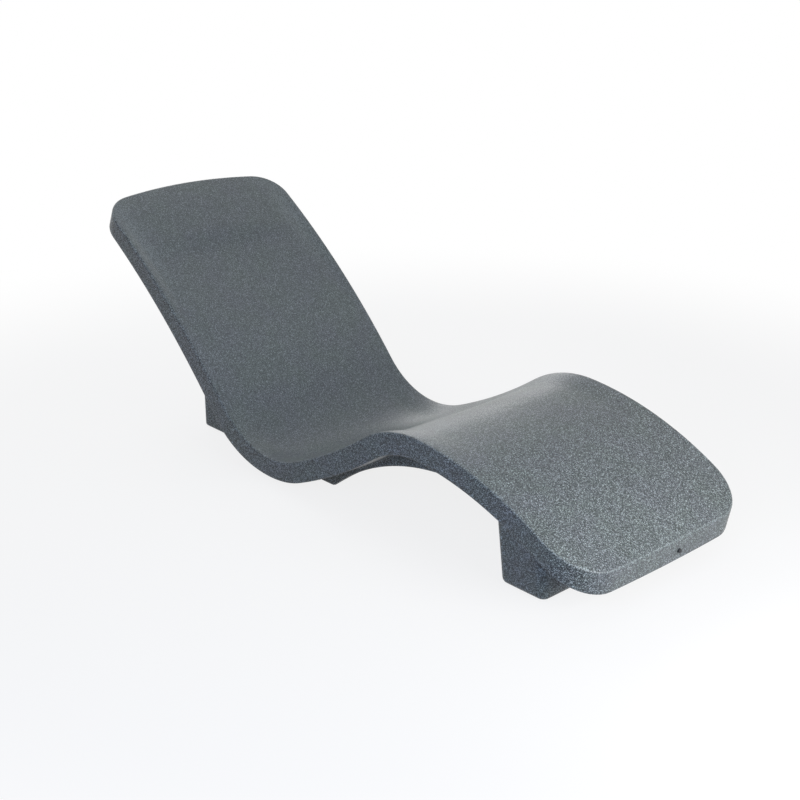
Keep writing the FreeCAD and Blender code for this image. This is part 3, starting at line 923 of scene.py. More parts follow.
@dataclass
class Shell:
    """The hollow moulding: the slab that carries the body, the rear foot with its arch and the front foot."""

    line: SideLine
    relief: Relief
    half_width: float = 0.320
    head_end: PlanEnd = PlanEnd(36 * MM, 102 * MM)
    foot_end: PlanEnd = PlanEnd(6 * MM, 119 * MM)
    top_radius: float = 5 * MM
    low_radius: float = 3.5 * MM
    top_turns: tuple = (15, 30, 45, 60, 75, 90)
    wall_shares: tuple = (0.2, 0.4, 0.6, 0.8)
    low_turns: tuple = (0, 22, 45, 68)
    # Painted highlight on the first rings of the rounded top edge.
    highlight_shares: tuple = (0.2, 1.0, 1.0, 0.2)
    rubbed_to: float = 1.30
    fresh_from: float = 2.00
    rubbed_end: float = 0.35
    # Painted light on the foot end, and how far back it reaches.
    end_light: float = 0.55
    end_light_reach: float = 60 * MM
    # Painted light bands on the head's rims and painted sheen at the knee.
    light_spots: tuple = (LightSpot(0.17, 0.17, 0.280, 32 * MM, 0.85), LightSpot(1.53, 0.09, 0.25, 110 * MM, 0.60))
    draft: float = 4.4 * MM
    foot_draft: float = 6.7 * MM
    foot_draft_lead: float = 0.15
    floor: float = 3 * MM
    heel_behind_seat: float = 0.480
    toe_ahead_of_seat: float = 0.1395
    body_inset: float = 0.115
    arch_height: float = 0.1725
    arch_ahead_of_knee: float = 0.034
    toe_radius: float = 22 * MM
    crown: float = 24 * MM
    crown_from: float = -40 * MM
    crown_to: float = 20 * MM
    body_end: PlanEnd = PlanEnd(0.1 * MM, 22 * MM)
    rear_low_radius: float = 6 * MM
    front_low_radius: float = 15 * MM
    cove_radius: float = 8 * MM
    cove_turns: tuple = (90, 70, 50, 30, 15, 0)
    foot_wall_steps: int = 8
    foot_low_turns: tuple = (0, 18, 36, 54, 72)
    edges_share: float = 0.8
    front_foot_setback: float = 0.155
    front_foot_length: float = 0.142
    rear_lean: float = 8 * MM
    front_lean: float = 10 * MM
    inset_low: float = 55 * MM
    inset_high: float = 20 * MM
    embed: float = 12 * MM

    def __post_init__(self) -> None:
        """Traces the side line and the underside of the slab."""
        self.along, self.line_x, self.line_z = self.line.trace()
        slope = self.line.slope(self.along)
        depth = self.line.depth(self.along)
        self.under_x = self.line_x + np.sin(slope) * depth
        self.under_z = self.line_z - np.cos(slope) * depth
        seat_end = self.line.back.length() + self.line.seat.length()
        past = self.along > seat_end
        self.seat_x = float(self.line_x[~past][np.argmin(self.line_z[~past])])
        self.crest_x = float(self.line_x[past][np.argmax(self.line_z[past])])
        self.toe_x = self.seat_x + self.toe_ahead_of_seat
        self.foot_x = float(self.line_x[-1])

    def underside(self, x: np.ndarray) -> np.ndarray:
        """Height of the slab's underside at places along the lounger."""
        order = np.argsort(self.under_x)
        return np.interp(x, self.under_x[order], self.under_z[order])

    def slab_plan(self) -> PlanGrid:
        """Plan of the slab; past the last bend it is measured level, not along the slope."""
        level = self.line.straight_start() + self.line.straight * math.cos(self.line.end_slope())
        return PlanGrid(0.0, level, self.half_width, self.head_end, self.foot_end,
                        length_steps=190, width_steps=60)

    def slope_place(self, level: np.ndarray) -> np.ndarray:
        """Turns places of the plan into places along the side line."""
        past = np.maximum(level - self.line.straight_start(), 0)
        return level + past * (1 / math.cos(self.line.end_slope()) - 1)

    def layer(self, points: Callable, inset: float, depth: Callable) -> np.ndarray:
        """One layer of the flat slab, drawn in as the leaning walls ask at its depth.

        Args:
            points: Gives the layer's plan points at an inset.
            inset: Distance from the plan's outline.
            depth: Gives the depth at places along the side line and across.

        Returns:
            Points of the flat slab: X along the side line, Z up from it.
        """
        near = points(inset)
        drawn = points(inset + self.draft)
        along = self.slope_place(near[..., 0])
        whole = self.line.depth(np.clip(along, 0, self.line.length()))
        share = np.clip(depth(along, near[..., 1], whole) / whole, 0, 1)
        lead = self.foot_draft_lead
        foot = smooth_step((along - self.line.straight_start() + lead) / (2 * lead))
        amount = share * (1 + self.foot_draft / self.draft * foot)
        plan = near + (drawn - near) * amount[..., None]
        along = self.slope_place(plan[..., 0])
        whole = self.line.depth(np.clip(along, 0, self.line.length()))
        return np.stack([along, plan[..., 1], -depth(along, plan[..., 1], whole)], axis=-1)

    def flat_slab(self) -> bpy.types.Object:
        """The slab laid out flat: X along the side line, Z up from it."""
        plan = self.slab_plan()
        top_radius, low_radius = self.top_radius, self.low_radius
        rings = []
        for turn in np.radians(self.top_turns):
            down = top_radius * (1 - math.cos(turn))
            rings.append(self.layer(plan.edge, top_radius * (1 - math.sin(turn)),
                                    lambda along, across, whole, down=down: np.full_like(along, down)))
        for share in self.wall_shares:
            rings.append(self.layer(plan.edge, 0.0, lambda along, across, whole, share=share:
                                    top_radius + (whole - top_radius - low_radius) * share))
        for turn in np.radians(self.low_turns):
            up = low_radius * (1 - math.sin(turn))
            rings.append(self.layer(plan.edge, low_radius * (1 - math.cos(turn)),
                                    lambda along, across, whole, up=up: whole - up))
        top = self.layer(plan.grid, top_radius,
                         lambda along, across, whole: self.relief.depth(self.half_width, along, across))
        bottom = self.layer(plan.grid, low_radius, lambda along, across, whole: whole)
        slab = loft("slab", top, rings, bottom)
        self.light_and_tone = self._light_and_tone(corners_of(slab), top.shape[0] * top.shape[1], len(rings[0]))
        return slab

    def _light_and_tone(self, points: np.ndarray, face: int, ring: int) -> dict:
        """Where the flat slab is painted paler: the seating face's paler tone, painted light on the foot end, and
        painted highlight, light bands and sheen.

        Args:
            points: The slab's points, the seating face's first.
            face: Number of points in the seating face.
            ring: Number of points in a ring.

        Returns:
            Attribute name to one number for each point.
        """
        along, across = points[:, 0], points[:, 1]
        fades = smooth_step((along[:face] - self.rubbed_to) / (self.fresh_from - self.rubbed_to))
        # Painted light on the foot end; the seating face's paler tone from the head to the knee.
        pale_and_lit = self.end_light * smooth_step((along - self.line.length()) / self.end_light_reach + 1)
        pale_and_lit[:face] = np.maximum(pale_and_lit[:face], 1 - (1 - self.rubbed_end) * fades)
        # Painted light bands and sheen on the seating face, and painted highlight on the rounded top edge.
        highlight = np.zeros(len(points))
        highlight[:face] = sum(spot.at(along[:face], across[:face]) for spot in self.light_spots)
        for number, share in enumerate(self.highlight_shares):
            first = face + number * ring
            highlight[first:first + ring] = share
        return {PAINTED_HIGHLIGHT: highlight, PALE_SEAT_AND_LIT_END: pale_and_lit}

    def side_curve(self) -> bpy.types.Object:
        """The side line as a curve object."""
        data = bpy.data.curves.new("side_line", "CURVE")
        data.dimensions = "3D"
        spline = data.splines.new("POLY")
        spline.points.add(len(self.along) - 1)
        flat = np.stack([self.line_x, np.zeros_like(self.line_x), self.line_z, np.ones_like(self.line_x)], -1)
        spline.points.foreach_set("co", flat.ravel())
        curve = bpy.data.objects.new("side_line", data)
        bpy.context.scene.collection.objects.link(curve)
        return curve

    def make_slab(self, material: bpy.types.Material) -> bpy.types.Object:
        """Bends the flat slab along the side line.

        Args:
            material: The moulding's material.

        Returns:
            The slab at its place.
        """
        slab = self.flat_slab()
        curve = self.side_curve()
        WaveTree().attach(slab, {
            "Side Line": curve,
            "Turn Start": self.line.straight_start(),
            "Turn End": self.line.length() - self.foot_end.corner,
            "Finish": material,
        })
        apply_modifiers(slab)
        bpy.data.objects.remove(curve)
        return slab

    def arch_run(self) -> float:
        """Distance from the toe to the arch's crest, which is a little ahead of the knee's."""
        return self.crest_x + self.arch_ahead_of_knee - self.toe_x

    def arch(self, x: np.ndarray) -> np.ndarray:
        """Height of the arch."""
        run = self.arch_run()
        radius = (run ** 2 + self.arch_height ** 2) / (2 * self.arch_height)
        drop = radius - np.sqrt(np.maximum(radius ** 2 - (x - self.toe_x - run) ** 2, 0))
        return self.floor + self.arch_height - drop

    def body_floor(self, x: np.ndarray, across: np.ndarray) -> np.ndarray:
        """Height of the rear foot's underside, and past its round toe of the arch, both crowned."""
        angle = 2 * math.atan(self.arch_height / self.arch_run())
        start = self.toe_x - self.toe_radius * math.tan(angle / 2)
        turn = np.clip((x - start) / self.toe_radius, 0, math.sin(angle))
        toe = self.floor + self.toe_radius * (1 - np.sqrt(1 - turn ** 2))
        in_toe = x < start + self.toe_radius * math.sin(angle)
        grows = smooth_step((x - self.toe_x - self.crown_from) / (self.crown_to - self.crown_from))
        inside = 1 - np.clip(np.abs(across) / (self.half_width - self.body_inset), 0, 1) ** 2
        return np.where(in_toe, toe, np.maximum(self.arch(x), self.floor)) + self.crown * grows * inside

    def foot_solid(self, name: str, plan: PlanGrid, low: float, floor: Callable,
                   lean: Callable) -> bpy.types.Object:
        """A foot: round at the floor, with a cove where it meets the slab's underside.

        Args:
            name: The piece's name.
            plan: Its plan at the floor.
            low: Radius of its lower edges.
            floor: Height of its underside at X and across.
            lean: Moves points outwards as they go up.

        Returns:
            The closed solid, which reaches a little into the slab.
        """
        cove = self.cove_radius

        def room(x: np.ndarray, across: np.ndarray) -> np.ndarray:
            """Share of the roundings that the walls have room for."""
            height = self.underside(x) - floor(x, across)
            return np.clip(self.edges_share * height / (cove + low), 0, 1)

        def lift(points: Callable, inset: float, height: Callable) -> np.ndarray:
            """One layer: plan points, drawn in by the inset that has room, their height, and the lean."""
            straight = points(0.0)
            scale = room(straight[..., 0], straight[..., 1])
            plan_points = straight + (points(inset) - straight) * scale[..., None]
            x, across = plan_points[..., 0], plan_points[..., 1]
            return lean(np.stack([x, across, height(x, floor(x, across), room(x, across))], axis=-1))

        top = lift(plan.grid, -cove, lambda x, base, scale: self.underside(x) + self.embed)
        rings = [lift(plan.edge, -cove, lambda x, base, scale: self.underside(x) + 0.2 * self.embed)]
        for turn in np.radians(self.cove_turns):
            down = cove * (1 - math.sin(turn))
            rings.append(lift(plan.edge, -cove * (1 - math.cos(turn)),
                              lambda x, base, scale, down=down: self.underside(x) - down * scale))
        for share in np.linspace(0, 1, self.foot_wall_steps + 1)[1:-1]:
            def wall(x: np.ndarray, base: np.ndarray, scale: np.ndarray, share: float = share) -> np.ndarray:
                """Height of one ring of the walls."""
                high = self.underside(x) - cove * scale
                return high + (base + low * scale - high) * share
            rings.append(lift(plan.edge, 0.0, wall))
        for turn in np.radians(self.foot_low_turns):
            up = low * (1 - math.sin(turn))
            rings.append(lift(plan.edge, low * (1 - math.cos(turn)),
                              lambda x, base, scale, up=up: base + up * scale))
        bottom = lift(plan.grid, low, lambda x, base, scale: base)
        return loft(name, top, rings, bottom)

    def make_rear_body(self) -> bpy.types.Object:
        """The rear foot and the arch that runs on from it into the front foot."""
        heel = self.seat_x - self.heel_behind_seat
        end = self.foot_x - self.front_foot_setback - self.front_foot_length / 2
        plan = PlanGrid(heel, end, self.half_width - self.body_inset, self.body_end, self.body_end,
                        corner_steps=8, length_steps=150, width_steps=24)
        return self.foot_solid("rear_body", plan, self.rear_low_radius, self.body_floor,
                               lambda points: points)

    def make_front_foot(self) -> bpy.types.Object:
        """The front foot, whose four walls lean."""
        high = self.foot_x - self.front_foot_setback
        low = high - self.front_foot_length
        half = self.half_width - self.inset_low
        plan = PlanGrid(low, high, half, self.body_end, self.body_end,
                        corner_steps=8, length_steps=12, width_steps=40)
        straight_z = float(np.interp(self.line.straight_start(), self.along, self.line_z))

        def lean(points: np.ndarray) -> np.ndarray:
            """Moves the points outwards with height."""
            share = (points[..., 2] - self.floor) / (straight_z - self.floor)
            place = (points[..., 0] - low) / (high - low)
            shift = self.rear_lean + (self.front_lean - self.rear_lean) * place
            spread = 1 + (self.inset_low - self.inset_high) / half * share
            x, across = points[..., 0] + shift * share, points[..., 1] * spread
            return np.stack([x, across, points[..., 2]], axis=-1)

        return self.foot_solid("front_foot", plan, self.front_low_radius,
                               lambda x, across: np.full_like(x, self.floor), lean)

    def make(self, cutters: Sequence[bpy.types.Object], finishes: dict) -> bpy.types.Object:
        """Builds the whole moulding.

        Args:
            cutters: Solids of the holes for the fittings and pads.
            finishes: Finish to material.

        Returns:
            The finished piece.
        """
        moulding = self.make_slab(finishes[Finish.SHELL])
        # Painted light, painted highlight and the paler tone of the slab's points, given back after the joins and
        # cuts.
        light_and_tone = PointValues(corners_of(moulding), self.light_and_tone)
        combine(moulding, [self.make_rear_body(), self.make_front_foot()], Join.ADD)
        combine(moulding, cutters, Join.CUT)
        light_and_tone.give(moulding)
        moulding.name = "moulding"
        for face in moulding.data.polygons:
            face.use_smooth = True
        moulding.data.set_sharp_from_angle(angle=SHARP_ANGLE)
        dress(moulding, Finish.SHELL, finishes)
        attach(moulding, "lounger")
        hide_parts("shell")
        return moulding


class WaveTree(GeometryTree):
    """Geometry tree that bends a flat slab along a side line and ends it upright."""

    def __init__(self) -> None:
        """Builds the tree, whose inputs are the side line and where its end turns upright."""
        super().__init__("wave", {"Side Line": "NodeSocketObject", "Turn Start": "NodeSocketFloat",
                                  "Turn End": "NodeSocketFloat"})
        position = self.node("GeometryNodeInputPosition").outputs[0]
        along, across, up = self.node("ShaderNodeSeparateXYZ", None, {0: position}).outputs
        sample = self.node("GeometryNodeSampleCurve", {"mode": "LENGTH", "use_all_curves": True},
                           {"Curves": self.shape_of("Side Line"), "Length": along}).outputs
        normal = self.vector("CROSS_PRODUCT", {0: sample["Tangent"], 1: (0.0, 1.0, 0.0)})[0]
        turn = self.smooth_range(along, self.given["Turn Start"], self.given["Turn End"])
        mixed = self.node("ShaderNodeMix", {"data_type": "VECTOR"},
                          {0: turn, 4: normal, 5: (0.0, 0.0, 1.0)}).outputs[1]
        lean = self.vector("DOT_PRODUCT", {0: mixed, 1: normal})["Value"]
        rise = self.vector("SCALE", {0: mixed, "Scale": Value(self, up) / lean})[0]
        sideways = self.node("ShaderNodeCombineXYZ", None, {1: across}).outputs[0]
        on_line = self.vector("ADD", {0: sample["Position"], 1: sideways})[0]
        moved = self.node("GeometryNodeSetPosition", None, {
            "Geometry": self.given["Geometry"], "Position": self.vector("ADD", {0: on_line, 1: rise})[0]})
        self.end(moved.outputs[0])


# Fittings

@dataclass(frozen=True)
class Axis:
    """Axis of a round piece: a place on it, and the way that the piece's heights run."""

    origin: Vector = Vector((0.0, 0.0, 0.0))
    way: Vector = Vector((0.0, 0.0, 1.0))

    @classmethod
    def of_port(cls, name: str, joint: str, seal_depth: float) -> "Axis":
        """Axis of a port, along its cap's joint, from the face that is over its seal's middle."""
        low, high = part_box(name + "_seal")
        ways = {row["name"]: Vector(row["axis"]) for row in frame["joints"]}
        return cls((low + high) / 2 + ways[joint] * seal_depth, ways[joint])

    @classmethod
    def of_pad(cls, name: str) -> "Axis":
        """Upright axis of a pad, from the floor."""
        low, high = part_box(name)
        return cls(Vector(((low.x + high.x) / 2, (low.y + high.y) / 2, 0.0)))

    def carry(self, piece: bpy.types.Object) -> bpy.types.Object:
        """Moves a piece's mesh from the origin to the axis."""
        turn = Vector((0.0, 0.0, 1.0)).rotation_difference(self.way)
        piece.data.transform(Matrix.Translation(self.origin) @ turn.to_matrix().to_4x4())
        return piece


@dataclass(frozen=True)
class Thread:
    """Right-hand screw thread with flat crests, between a root and a crest radius."""

    root: float
    crest: float
    pitch: float = 4 * MM
    flank_end: float = 0.34
    flank_width: float = 0.14
    fade: float = 1.2 * MM
    rows: int = 48

    def section(self, high: float, low: float, steps: int) -> list:
        """Half section of the threaded length.

        Args:
            high: Where it starts.
            low: Where it ends.
            steps: Steps round the axis.

        Returns:
            Radii round the axis and height pairs.
        """
        turn = np.linspace(0, 1, steps, endpoint=False)
        rows = []
        for height in np.linspace(high, low, self.rows):
            away = np.abs((height / self.pitch - turn) % 1 - 0.5)
            ridge = np.clip((self.flank_end - away) / self.flank_width, 0, 1)
            ends = smooth_step(abs(height - high) / self.fade) * smooth_step(abs(height - low) / self.fade)
            rows.append((self.root + (self.crest - self.root) * ridge * ends, height))
        return rows


def turned(name: str, section: Sequence[tuple], steps: int = 72) -> bpy.types.Object:
    """Makes a closed round solid about Z.

    Args:
        name: The piece's name.
        section: Radius and height pairs round its half section; a radius may be an array, one for each step.
        steps: Steps round the axis.

    Returns:
        The new object.
    """
    turn = np.linspace(0, 2 * math.pi, steps, endpoint=False)
    points = [np.stack([radius * np.cos(turn), radius * np.sin(turn), np.full(steps, height)], -1)
              for radius, height in section]
    loops = np.arange(len(points) * steps).reshape(len(points), steps)
    pairs = list(zip(loops, loops[1:]))
    if np.min(section[0][0]) > 0:
        pairs.append((loops[-1], loops[0]))
    faces = [face for upper, lower in pairs for face in band(upper, lower)]
    return new_piece(name, np.concatenate(points), faces)


def rounded(radius: float, height: float, edge: float, out: int, up: int, steps: int = 4) -> list:
    """A quarter round of a half section.

    Args:
        radius: Radius of the corner that is rounded.
        height: Height of that corner.
        edge: Radius of the quarter round.
        out: 1 where it starts on the flat face, -1 where it starts on the wall.
        up: 1 for an upper corner, -1 for a lower one.
        steps: Steps along the quarter.

    Returns:
        Radius and height pairs.
    """
    turns = np.linspace(0, math.pi / 2, steps + 1)[::out]
    return [(radius - edge + edge * math.sin(turn), height - up * edge * (1 - math.cos(turn)))
            for turn in turns]


def block(name: str, low: tuple, high: tuple, bevel: float = 0.0) -> bpy.types.Object:
    """Makes a block with bevelled edges.

    Args:
        name: The piece's name.
        low: Its lowest corner.
        high: Its highest corner.
        bevel: Width of the bevels.

    Returns:
        The new object.
    """
    corners = np.array(list(product(*zip(low, high))))
    faces = [(0, 1, 3, 2), (4, 6, 7, 5), (0, 4, 5, 1), (2, 3, 7, 6), (0, 2, 6, 4), (1, 5, 7, 3)]
    piece = new_piece(name, corners, faces)
    if bevel:
        work = bmesh.new()
        work.from_mesh(piece.data)
        bmesh.ops.bevel(work, geom=work.edges[:], offset=bevel, segments=2, profile=0.5, affect="EDGES")
        work.to_mesh(piece.data)
        work.free()
    return piece


class RingTree(GeometryTree):
    """Geometry tree that sets copies of a piece round a ring, each turned with its place."""

    def __init__(self) -> None:
        """Builds the tree, whose inputs are the piece, the number of copies and the ring's radius."""
        super().__init__("ring", {"Piece": "NodeSocketObject", "Count": "NodeSocketInt",
                                  "Radius": "NodeSocketFloat"})
        circle = self.node("GeometryNodeMeshCircle", None,
                           {"Vertices": self.given["Count"], "Radius": self.given["Radius"]}).outputs[0]
        index = Value(self, self.node("GeometryNodeInputIndex").outputs[0])
        angle = index * 2 * math.pi / self.given["Count"]
        angles = self.node("ShaderNodeCombineXYZ", None, {2: angle}).outputs[0]
        turn = self.node("FunctionNodeEulerToRotation", None, {0: angles}).outputs[0]
        copies = self.node("GeometryNodeInstanceOnPoints", None,
                           {"Points": circle, "Instance": self.shape_of("Piece"), "Rotation": turn})
        self.end(copies.outputs[0])


def ring_of(piece: bpy.types.Object, count: int, radius: float,
            material: bpy.types.Material) -> bpy.types.Object:
    """Sets copies of a piece round Z and deletes the piece.

    Args:
        piece: The piece, which points outwards along X.
        count: Number of copies.
        radius: Radius of the ring that they stand on.
        material: Their material.

    Returns:
        One object with all the copies.
    """
    ring = new_piece(piece.name + "_ring", np.zeros((0, 3)), [])
    RingTree().attach(ring, {"Piece": piece, "Count": count, "Radius": radius, "Finish": material})
    apply_modifiers(ring)
    bpy.data.objects.remove(piece)
    return ring


@dataclass(frozen=True)
class Slot:
    """Straight slot in a round piece's upper face."""

    length: float
    width: float
    depth: float
    clear: float = 5 * MM

    def cut(self, piece: bpy.types.Object, top: float) -> bpy.types.Object:
        """Cuts the slot into a piece whose upper face is at a height."""
        half_length, half_width = self.length / 2, self.width / 2
        cutter = block(piece.name + "_slot", (-half_length, -half_width, top - self.depth),
                       (half_length, half_width, self.clear))
        return combine(piece, [cutter], Join.CUT)


@dataclass(frozen=True)
class PortHole:
    """Stepped hole of a port: recess, seat of the collar with its key, and the way into the hollow."""

    recess_radius: float = 20.5 * MM
    recess_depth: float = 5 * MM
    collar_radius: float = 17.5 * MM
    collar_length: float = 15 * MM
    key_radius: float = 19 * MM
    key_width: float = 3 * MM
    beyond: float = 8 * MM

    def back(self) -> float:
        """Height of the collar's inner end."""
        return -self.recess_depth - self.collar_length

    def collar_section(self) -> list:
        """Outside of the collar, from its outer end to its inner end."""
        key = (self.back() - self.recess_depth + self.key_width) / 2
        return [(self.collar_radius, -self.recess_depth), (self.collar_radius, key), (self.key_radius, key),
                (self.key_radius, key - self.key_width), (self.collar_radius, key - self.key_width),
                (self.collar_radius, self.back())]

    def cutter(self, name: str, axis: Axis) -> bpy.types.Object:
        """The solid that cuts the hole."""
        above = self.recess_depth
        section = [(0.0, above), (self.recess_radius, above), (self.recess_radius, -self.recess_depth)]
        section += self.collar_section()
        section += [(self.collar_radius, self.back() - self.beyond), (0.0, self.back() - self.beyond)]
        return axis.carry(turned(name + "_cutter", section))


@dataclass(frozen=True)
class ThreadedCollar:
    """Collar moulded into the shell, with a screw thread in its bore."""

    thread: Thread = Thread(13.9 * MM, 13.0 * MM, rows=60)
    lead: float = 0.6 * MM
    steps: int = 72

    def make(self, name: str, hole: PortHole) -> bpy.types.Object:
        """Builds the collar about Z."""
        top, back, bore = -hole.recess_depth, hole.back(), self.thread.root
        section = hole.collar_section() + [(bore, back)]
        section += self.thread.section(back + self.lead, top - self.lead, self.steps)
        section.append((bore, top))
        return turned(name, section, self.steps)


@dataclass(frozen=True)
class ScrewCap:
    """Screw cap with a coin slot, grip ribs round its rim and a threaded plug."""

    top: float = -0.7 * MM
    thickness: float = 4 * MM
    radius: float = 19 * MM
    edge: float = 0.8 * MM
    rib_count: int = 36
    rib_width: float = 1.5 * MM
    rib_depth: float = 1.0 * MM
    rib_drop: float = 0.6 * MM
    rib_rise: float = 0.3 * MM
    rib_bevel: float = 0.35 * MM
    dish_radius: float = 14.5 * MM
    dish_depth: float = 0.5 * MM
    dish_slope: float = 1.2 * MM
    slot: Slot = Slot(26 * MM, 3 * MM, 2 * MM)
    plug_length: float = 11 * MM
    plug_end: float = 9.5 * MM
    plug_chamfer: float = 1 * MM
    thread: Thread = Thread(11.6 * MM, 12.7 * MM)
    steps: int = 72

    def make(self, name: str, material: bpy.types.Material) -> bpy.types.Object:
        """Builds the cap about Z, face up.

        Args:
            name: The piece's name.
            material: Its material.

        Returns:
            The cap.
        """
        under = self.top - self.thickness
        low = under - self.plug_length
        disc = self.radius - self.rib_depth
        dish = self.top - self.dish_depth
        section = [(0.0, dish), (self.dish_radius - self.dish_slope, dish), (self.dish_radius, self.top)]
        section += rounded(disc, self.top, self.edge, 1, 1)
        section += rounded(disc, under, self.edge / 2, -1, -1)
        section += self.thread.section(under, low + self.plug_chamfer, self.steps)
        section += [(self.plug_end, low), (0.0, low)]
        cap = turned(name, section, self.steps)
        rib = block(name + "_rib", (-2 * self.rib_depth, -self.rib_width / 2, under + self.rib_rise),
                    (0.0, self.rib_width / 2, self.top - self.rib_drop), self.rib_bevel)
        combine(cap, [ring_of(rib, self.rib_count, self.radius, material)], Join.ADD)
        return self.slot.cut(cap, self.top)


@dataclass(frozen=True)
class VentPlug:
    """Soft pull-out plug with a domed head, a pry slot and three sealing beads."""

    top: float = -0.9 * MM
    thickness: float = 2.2 * MM
    radius: float = 5.3 * MM
    edge: float = 0.9 * MM
    low_edge: float = 0.3 * MM
    slot: Slot = Slot(7 * MM, 1.4 * MM, 1.0 * MM)
    stem_radius: float = 2.6 * MM
    bead_radius: float = 3.1 * MM
    bead_count: int = 3
    bead_rows: int = 37
    stem_length: float = 8 * MM
    stem_chamfer: float = 1 * MM
    steps: int = 48

    def make(self, name: str) -> bpy.types.Object:
        """Builds the plug about Z."""
        under = self.top - self.thickness
        low = under - self.stem_length
        section = [(0.0, self.top)] + rounded(self.radius, self.top, self.edge, 1, 1)
        section += rounded(self.radius, under, self.low_edge, -1, -1, 2)
        rise = self.bead_radius - self.stem_radius
        beaded = self.stem_length - self.stem_chamfer
        for height in np.linspace(under, under - beaded, self.bead_rows):
            wave = math.sin((under - height) / beaded * self.bead_count * 2 * math.pi)
            section.append((self.stem_radius + rise * max(wave, 0), height))
        section += [(self.stem_radius - self.stem_chamfer, low), (0.0, low)]
        return self.slot.cut(turned(name, section, self.steps), self.top)


@dataclass(frozen=True)
class Pad:
    """Rubber pad with a pocket for its screw, and rings and spokes of tread."""

    radius: float = 25 * MM
    thickness: float = 7 * MM
    edge: float = 1.2 * MM
    top_edge: float = 0.4 * MM
    pocket_radius: float = 8.5 * MM
    pocket_depth: float = 4.4 * MM
    pocket_chamfer: float = 0.5 * MM
    bore_radius: float = 2.8 * MM
    ring_radii: tuple = (12.5 * MM, 16.5 * MM, 20.5 * MM)
    tread_width: float = 1.3 * MM
    tread_depth: float = 1.0 * MM
    tread_slope: float = 0.2 * MM
    spoke_count: int = 20
    clear: float = 1 * MM
    seat_clearance: float = 0.2 * MM
    seat_clear: float = 5 * MM
    insert_radius: float = 5 * MM
    insert_length: float = 13 * MM

    def make(self, name: str, material: bpy.types.Material) -> bpy.types.Object:
        """Builds the pad about Z, from the floor up.

        Args:
            name: The piece's name.
            material: Material of the tread's cutters.

        Returns:
            The pad.
        """
        section = [(self.bore_radius, self.thickness), (self.bore_radius, self.pocket_depth),
                   (self.pocket_radius, self.pocket_depth), (self.pocket_radius, self.pocket_chamfer),
                   (self.pocket_radius + self.pocket_chamfer, 0.0)]
        for middle in self.ring_radii:
            inner, outer = middle - self.tread_width / 2, middle + self.tread_width / 2
            section += [(inner, 0.0), (inner + self.tread_slope, self.tread_depth),
                        (outer - self.tread_slope, self.tread_depth), (outer, 0.0)]
        section += rounded(self.radius, 0.0, self.edge, 1, -1)
        section += rounded(self.radius, self.thickness, self.top_edge, -1, 1, 2)
        pad = turned(name, section)
        spoke = block(name + "_spoke", (self.ring_radii[0] - self.radius, -self.tread_width / 2, -self.clear),
                      (self.clear, self.tread_width / 2, self.tread_depth))
        return combine(pad, [ring_of(spoke, self.spoke_count, self.radius, material)], Join.CUT)

    def cutter(self, name: str, axis: Axis) -> bpy.types.Object:
        """The solid that cuts the pad's seat and the hole of its insert."""
        seat, below = self.radius + self.seat_clearance, -self.seat_clear
        top = self.thickness + self.insert_length
        section = [(0.0, below), (seat, below), (seat, self.thickness), (self.insert_radius, self.thickness),
                   (self.insert_radius, top), (0.0, top)]
        return axis.carry(turned(name + "_cutter", section))


@dataclass
class Fittings:
    """The ports' collars, caps and plug, and the pads."""

    finishes: dict
    screw_hole: PortHole = PortHole()
    screw_seal_depth: float = 6.2 * MM
    collar: ThreadedCollar = ThreadedCollar()
    cap: ScrewCap = ScrewCap()
    vent_hole: PortHole = PortHole(6 * MM, 3.4 * MM, 5.8 * MM, 13 * MM, 6.8 * MM, 2.5 * MM)
    vent_seal_depth: float = 4.0 * MM
    plug: VentPlug = VentPlug()
    pad: Pad = Pad()
    cutters: list = field(default_factory=list)
    pieces: list = field(default_factory=list)

    def make(self) -> list:
        """Builds every fitting.

        Returns:
            The solids that cut their places out of the moulding.
        """
        self._screw_port("fill")
        self._screw_port("drain")
        self._vent_port()
        for name in frame["nodes"]:
            if "_pad_" in name:
                self._pad(name)
        return self.cutters

    def _place(self, piece: bpy.types.Object, axis: Axis, finish: Finish, body: str, node: str) -> None:
        """Puts a finished piece in the place of a CAD node.

        Args:
            piece: The piece, built about Z.
            axis: Where it goes.
            finish: Its finish.
            body: The body that it rides on.
            node: The CAD node that it stands for.
        """
        axis.carry(piece)
        piece.data.set_sharp_from_angle(angle=SHARP_ANGLE)
        dress(piece, finish, self.finishes)
        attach(piece, body)
        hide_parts(node)
        self.pieces.append(piece)

    def _screw_port(self, name: str) -> None:
        """Builds the collar and cap of a screwed port."""
        axis = Axis.of_port(name, name + "_turn", self.screw_seal_depth)
        self.cutters.append(self.screw_hole.cutter(name, axis))
        collar = self.collar.make(name + "_threaded_collar", self.screw_hole)
        self._place(collar, axis, Finish.FITTING, "lounger", name + "_collar")
        cap = self.cap.make(name + "_screw_cap", self.finishes[Finish.FITTING])
        self._place(cap, axis, Finish.FITTING, name + "_cap", name + "_cap")

    def _vent_port(self) -> None:
        """Builds the vent's plug."""
        axis = Axis.of_port("vent", "vent_pull", self.vent_seal_depth)
        self.cutters.append(self.vent_hole.cutter("vent", axis))
        self._place(self.plug.make("vent_pull_plug"), axis, Finish.FITTING, "vent_plug", "vent_cap")

    def _pad(self, node: str) -> None:
        """Builds one pad."""
        axis = Axis.of_pad(node)
        self.cutters.append(self.pad.cutter(node, axis))
        tread = self.pad.make(node + "_tread", self.finishes[Finish.PAD])
        self._place(tread, axis, Finish.PAD, "lounger", node)


# Studio

def aim(device: bpy.types.Object, position: tuple, look: Vector, roll: Quaternion = Quaternion()) -> None:
    """Puts a camera or lamp in the scene.

    Args:
        device: The camera or lamp.
        position: Where it stands.
        look: The way that it points.
        roll: Its turn about that way.
    """
    device.location = position
    device.rotation_mode = "QUATERNION"
    device.rotation_quaternion = look.to_track_quat("-Z", "Y") @ roll
    bpy.context.scene.collection.objects.link(device)


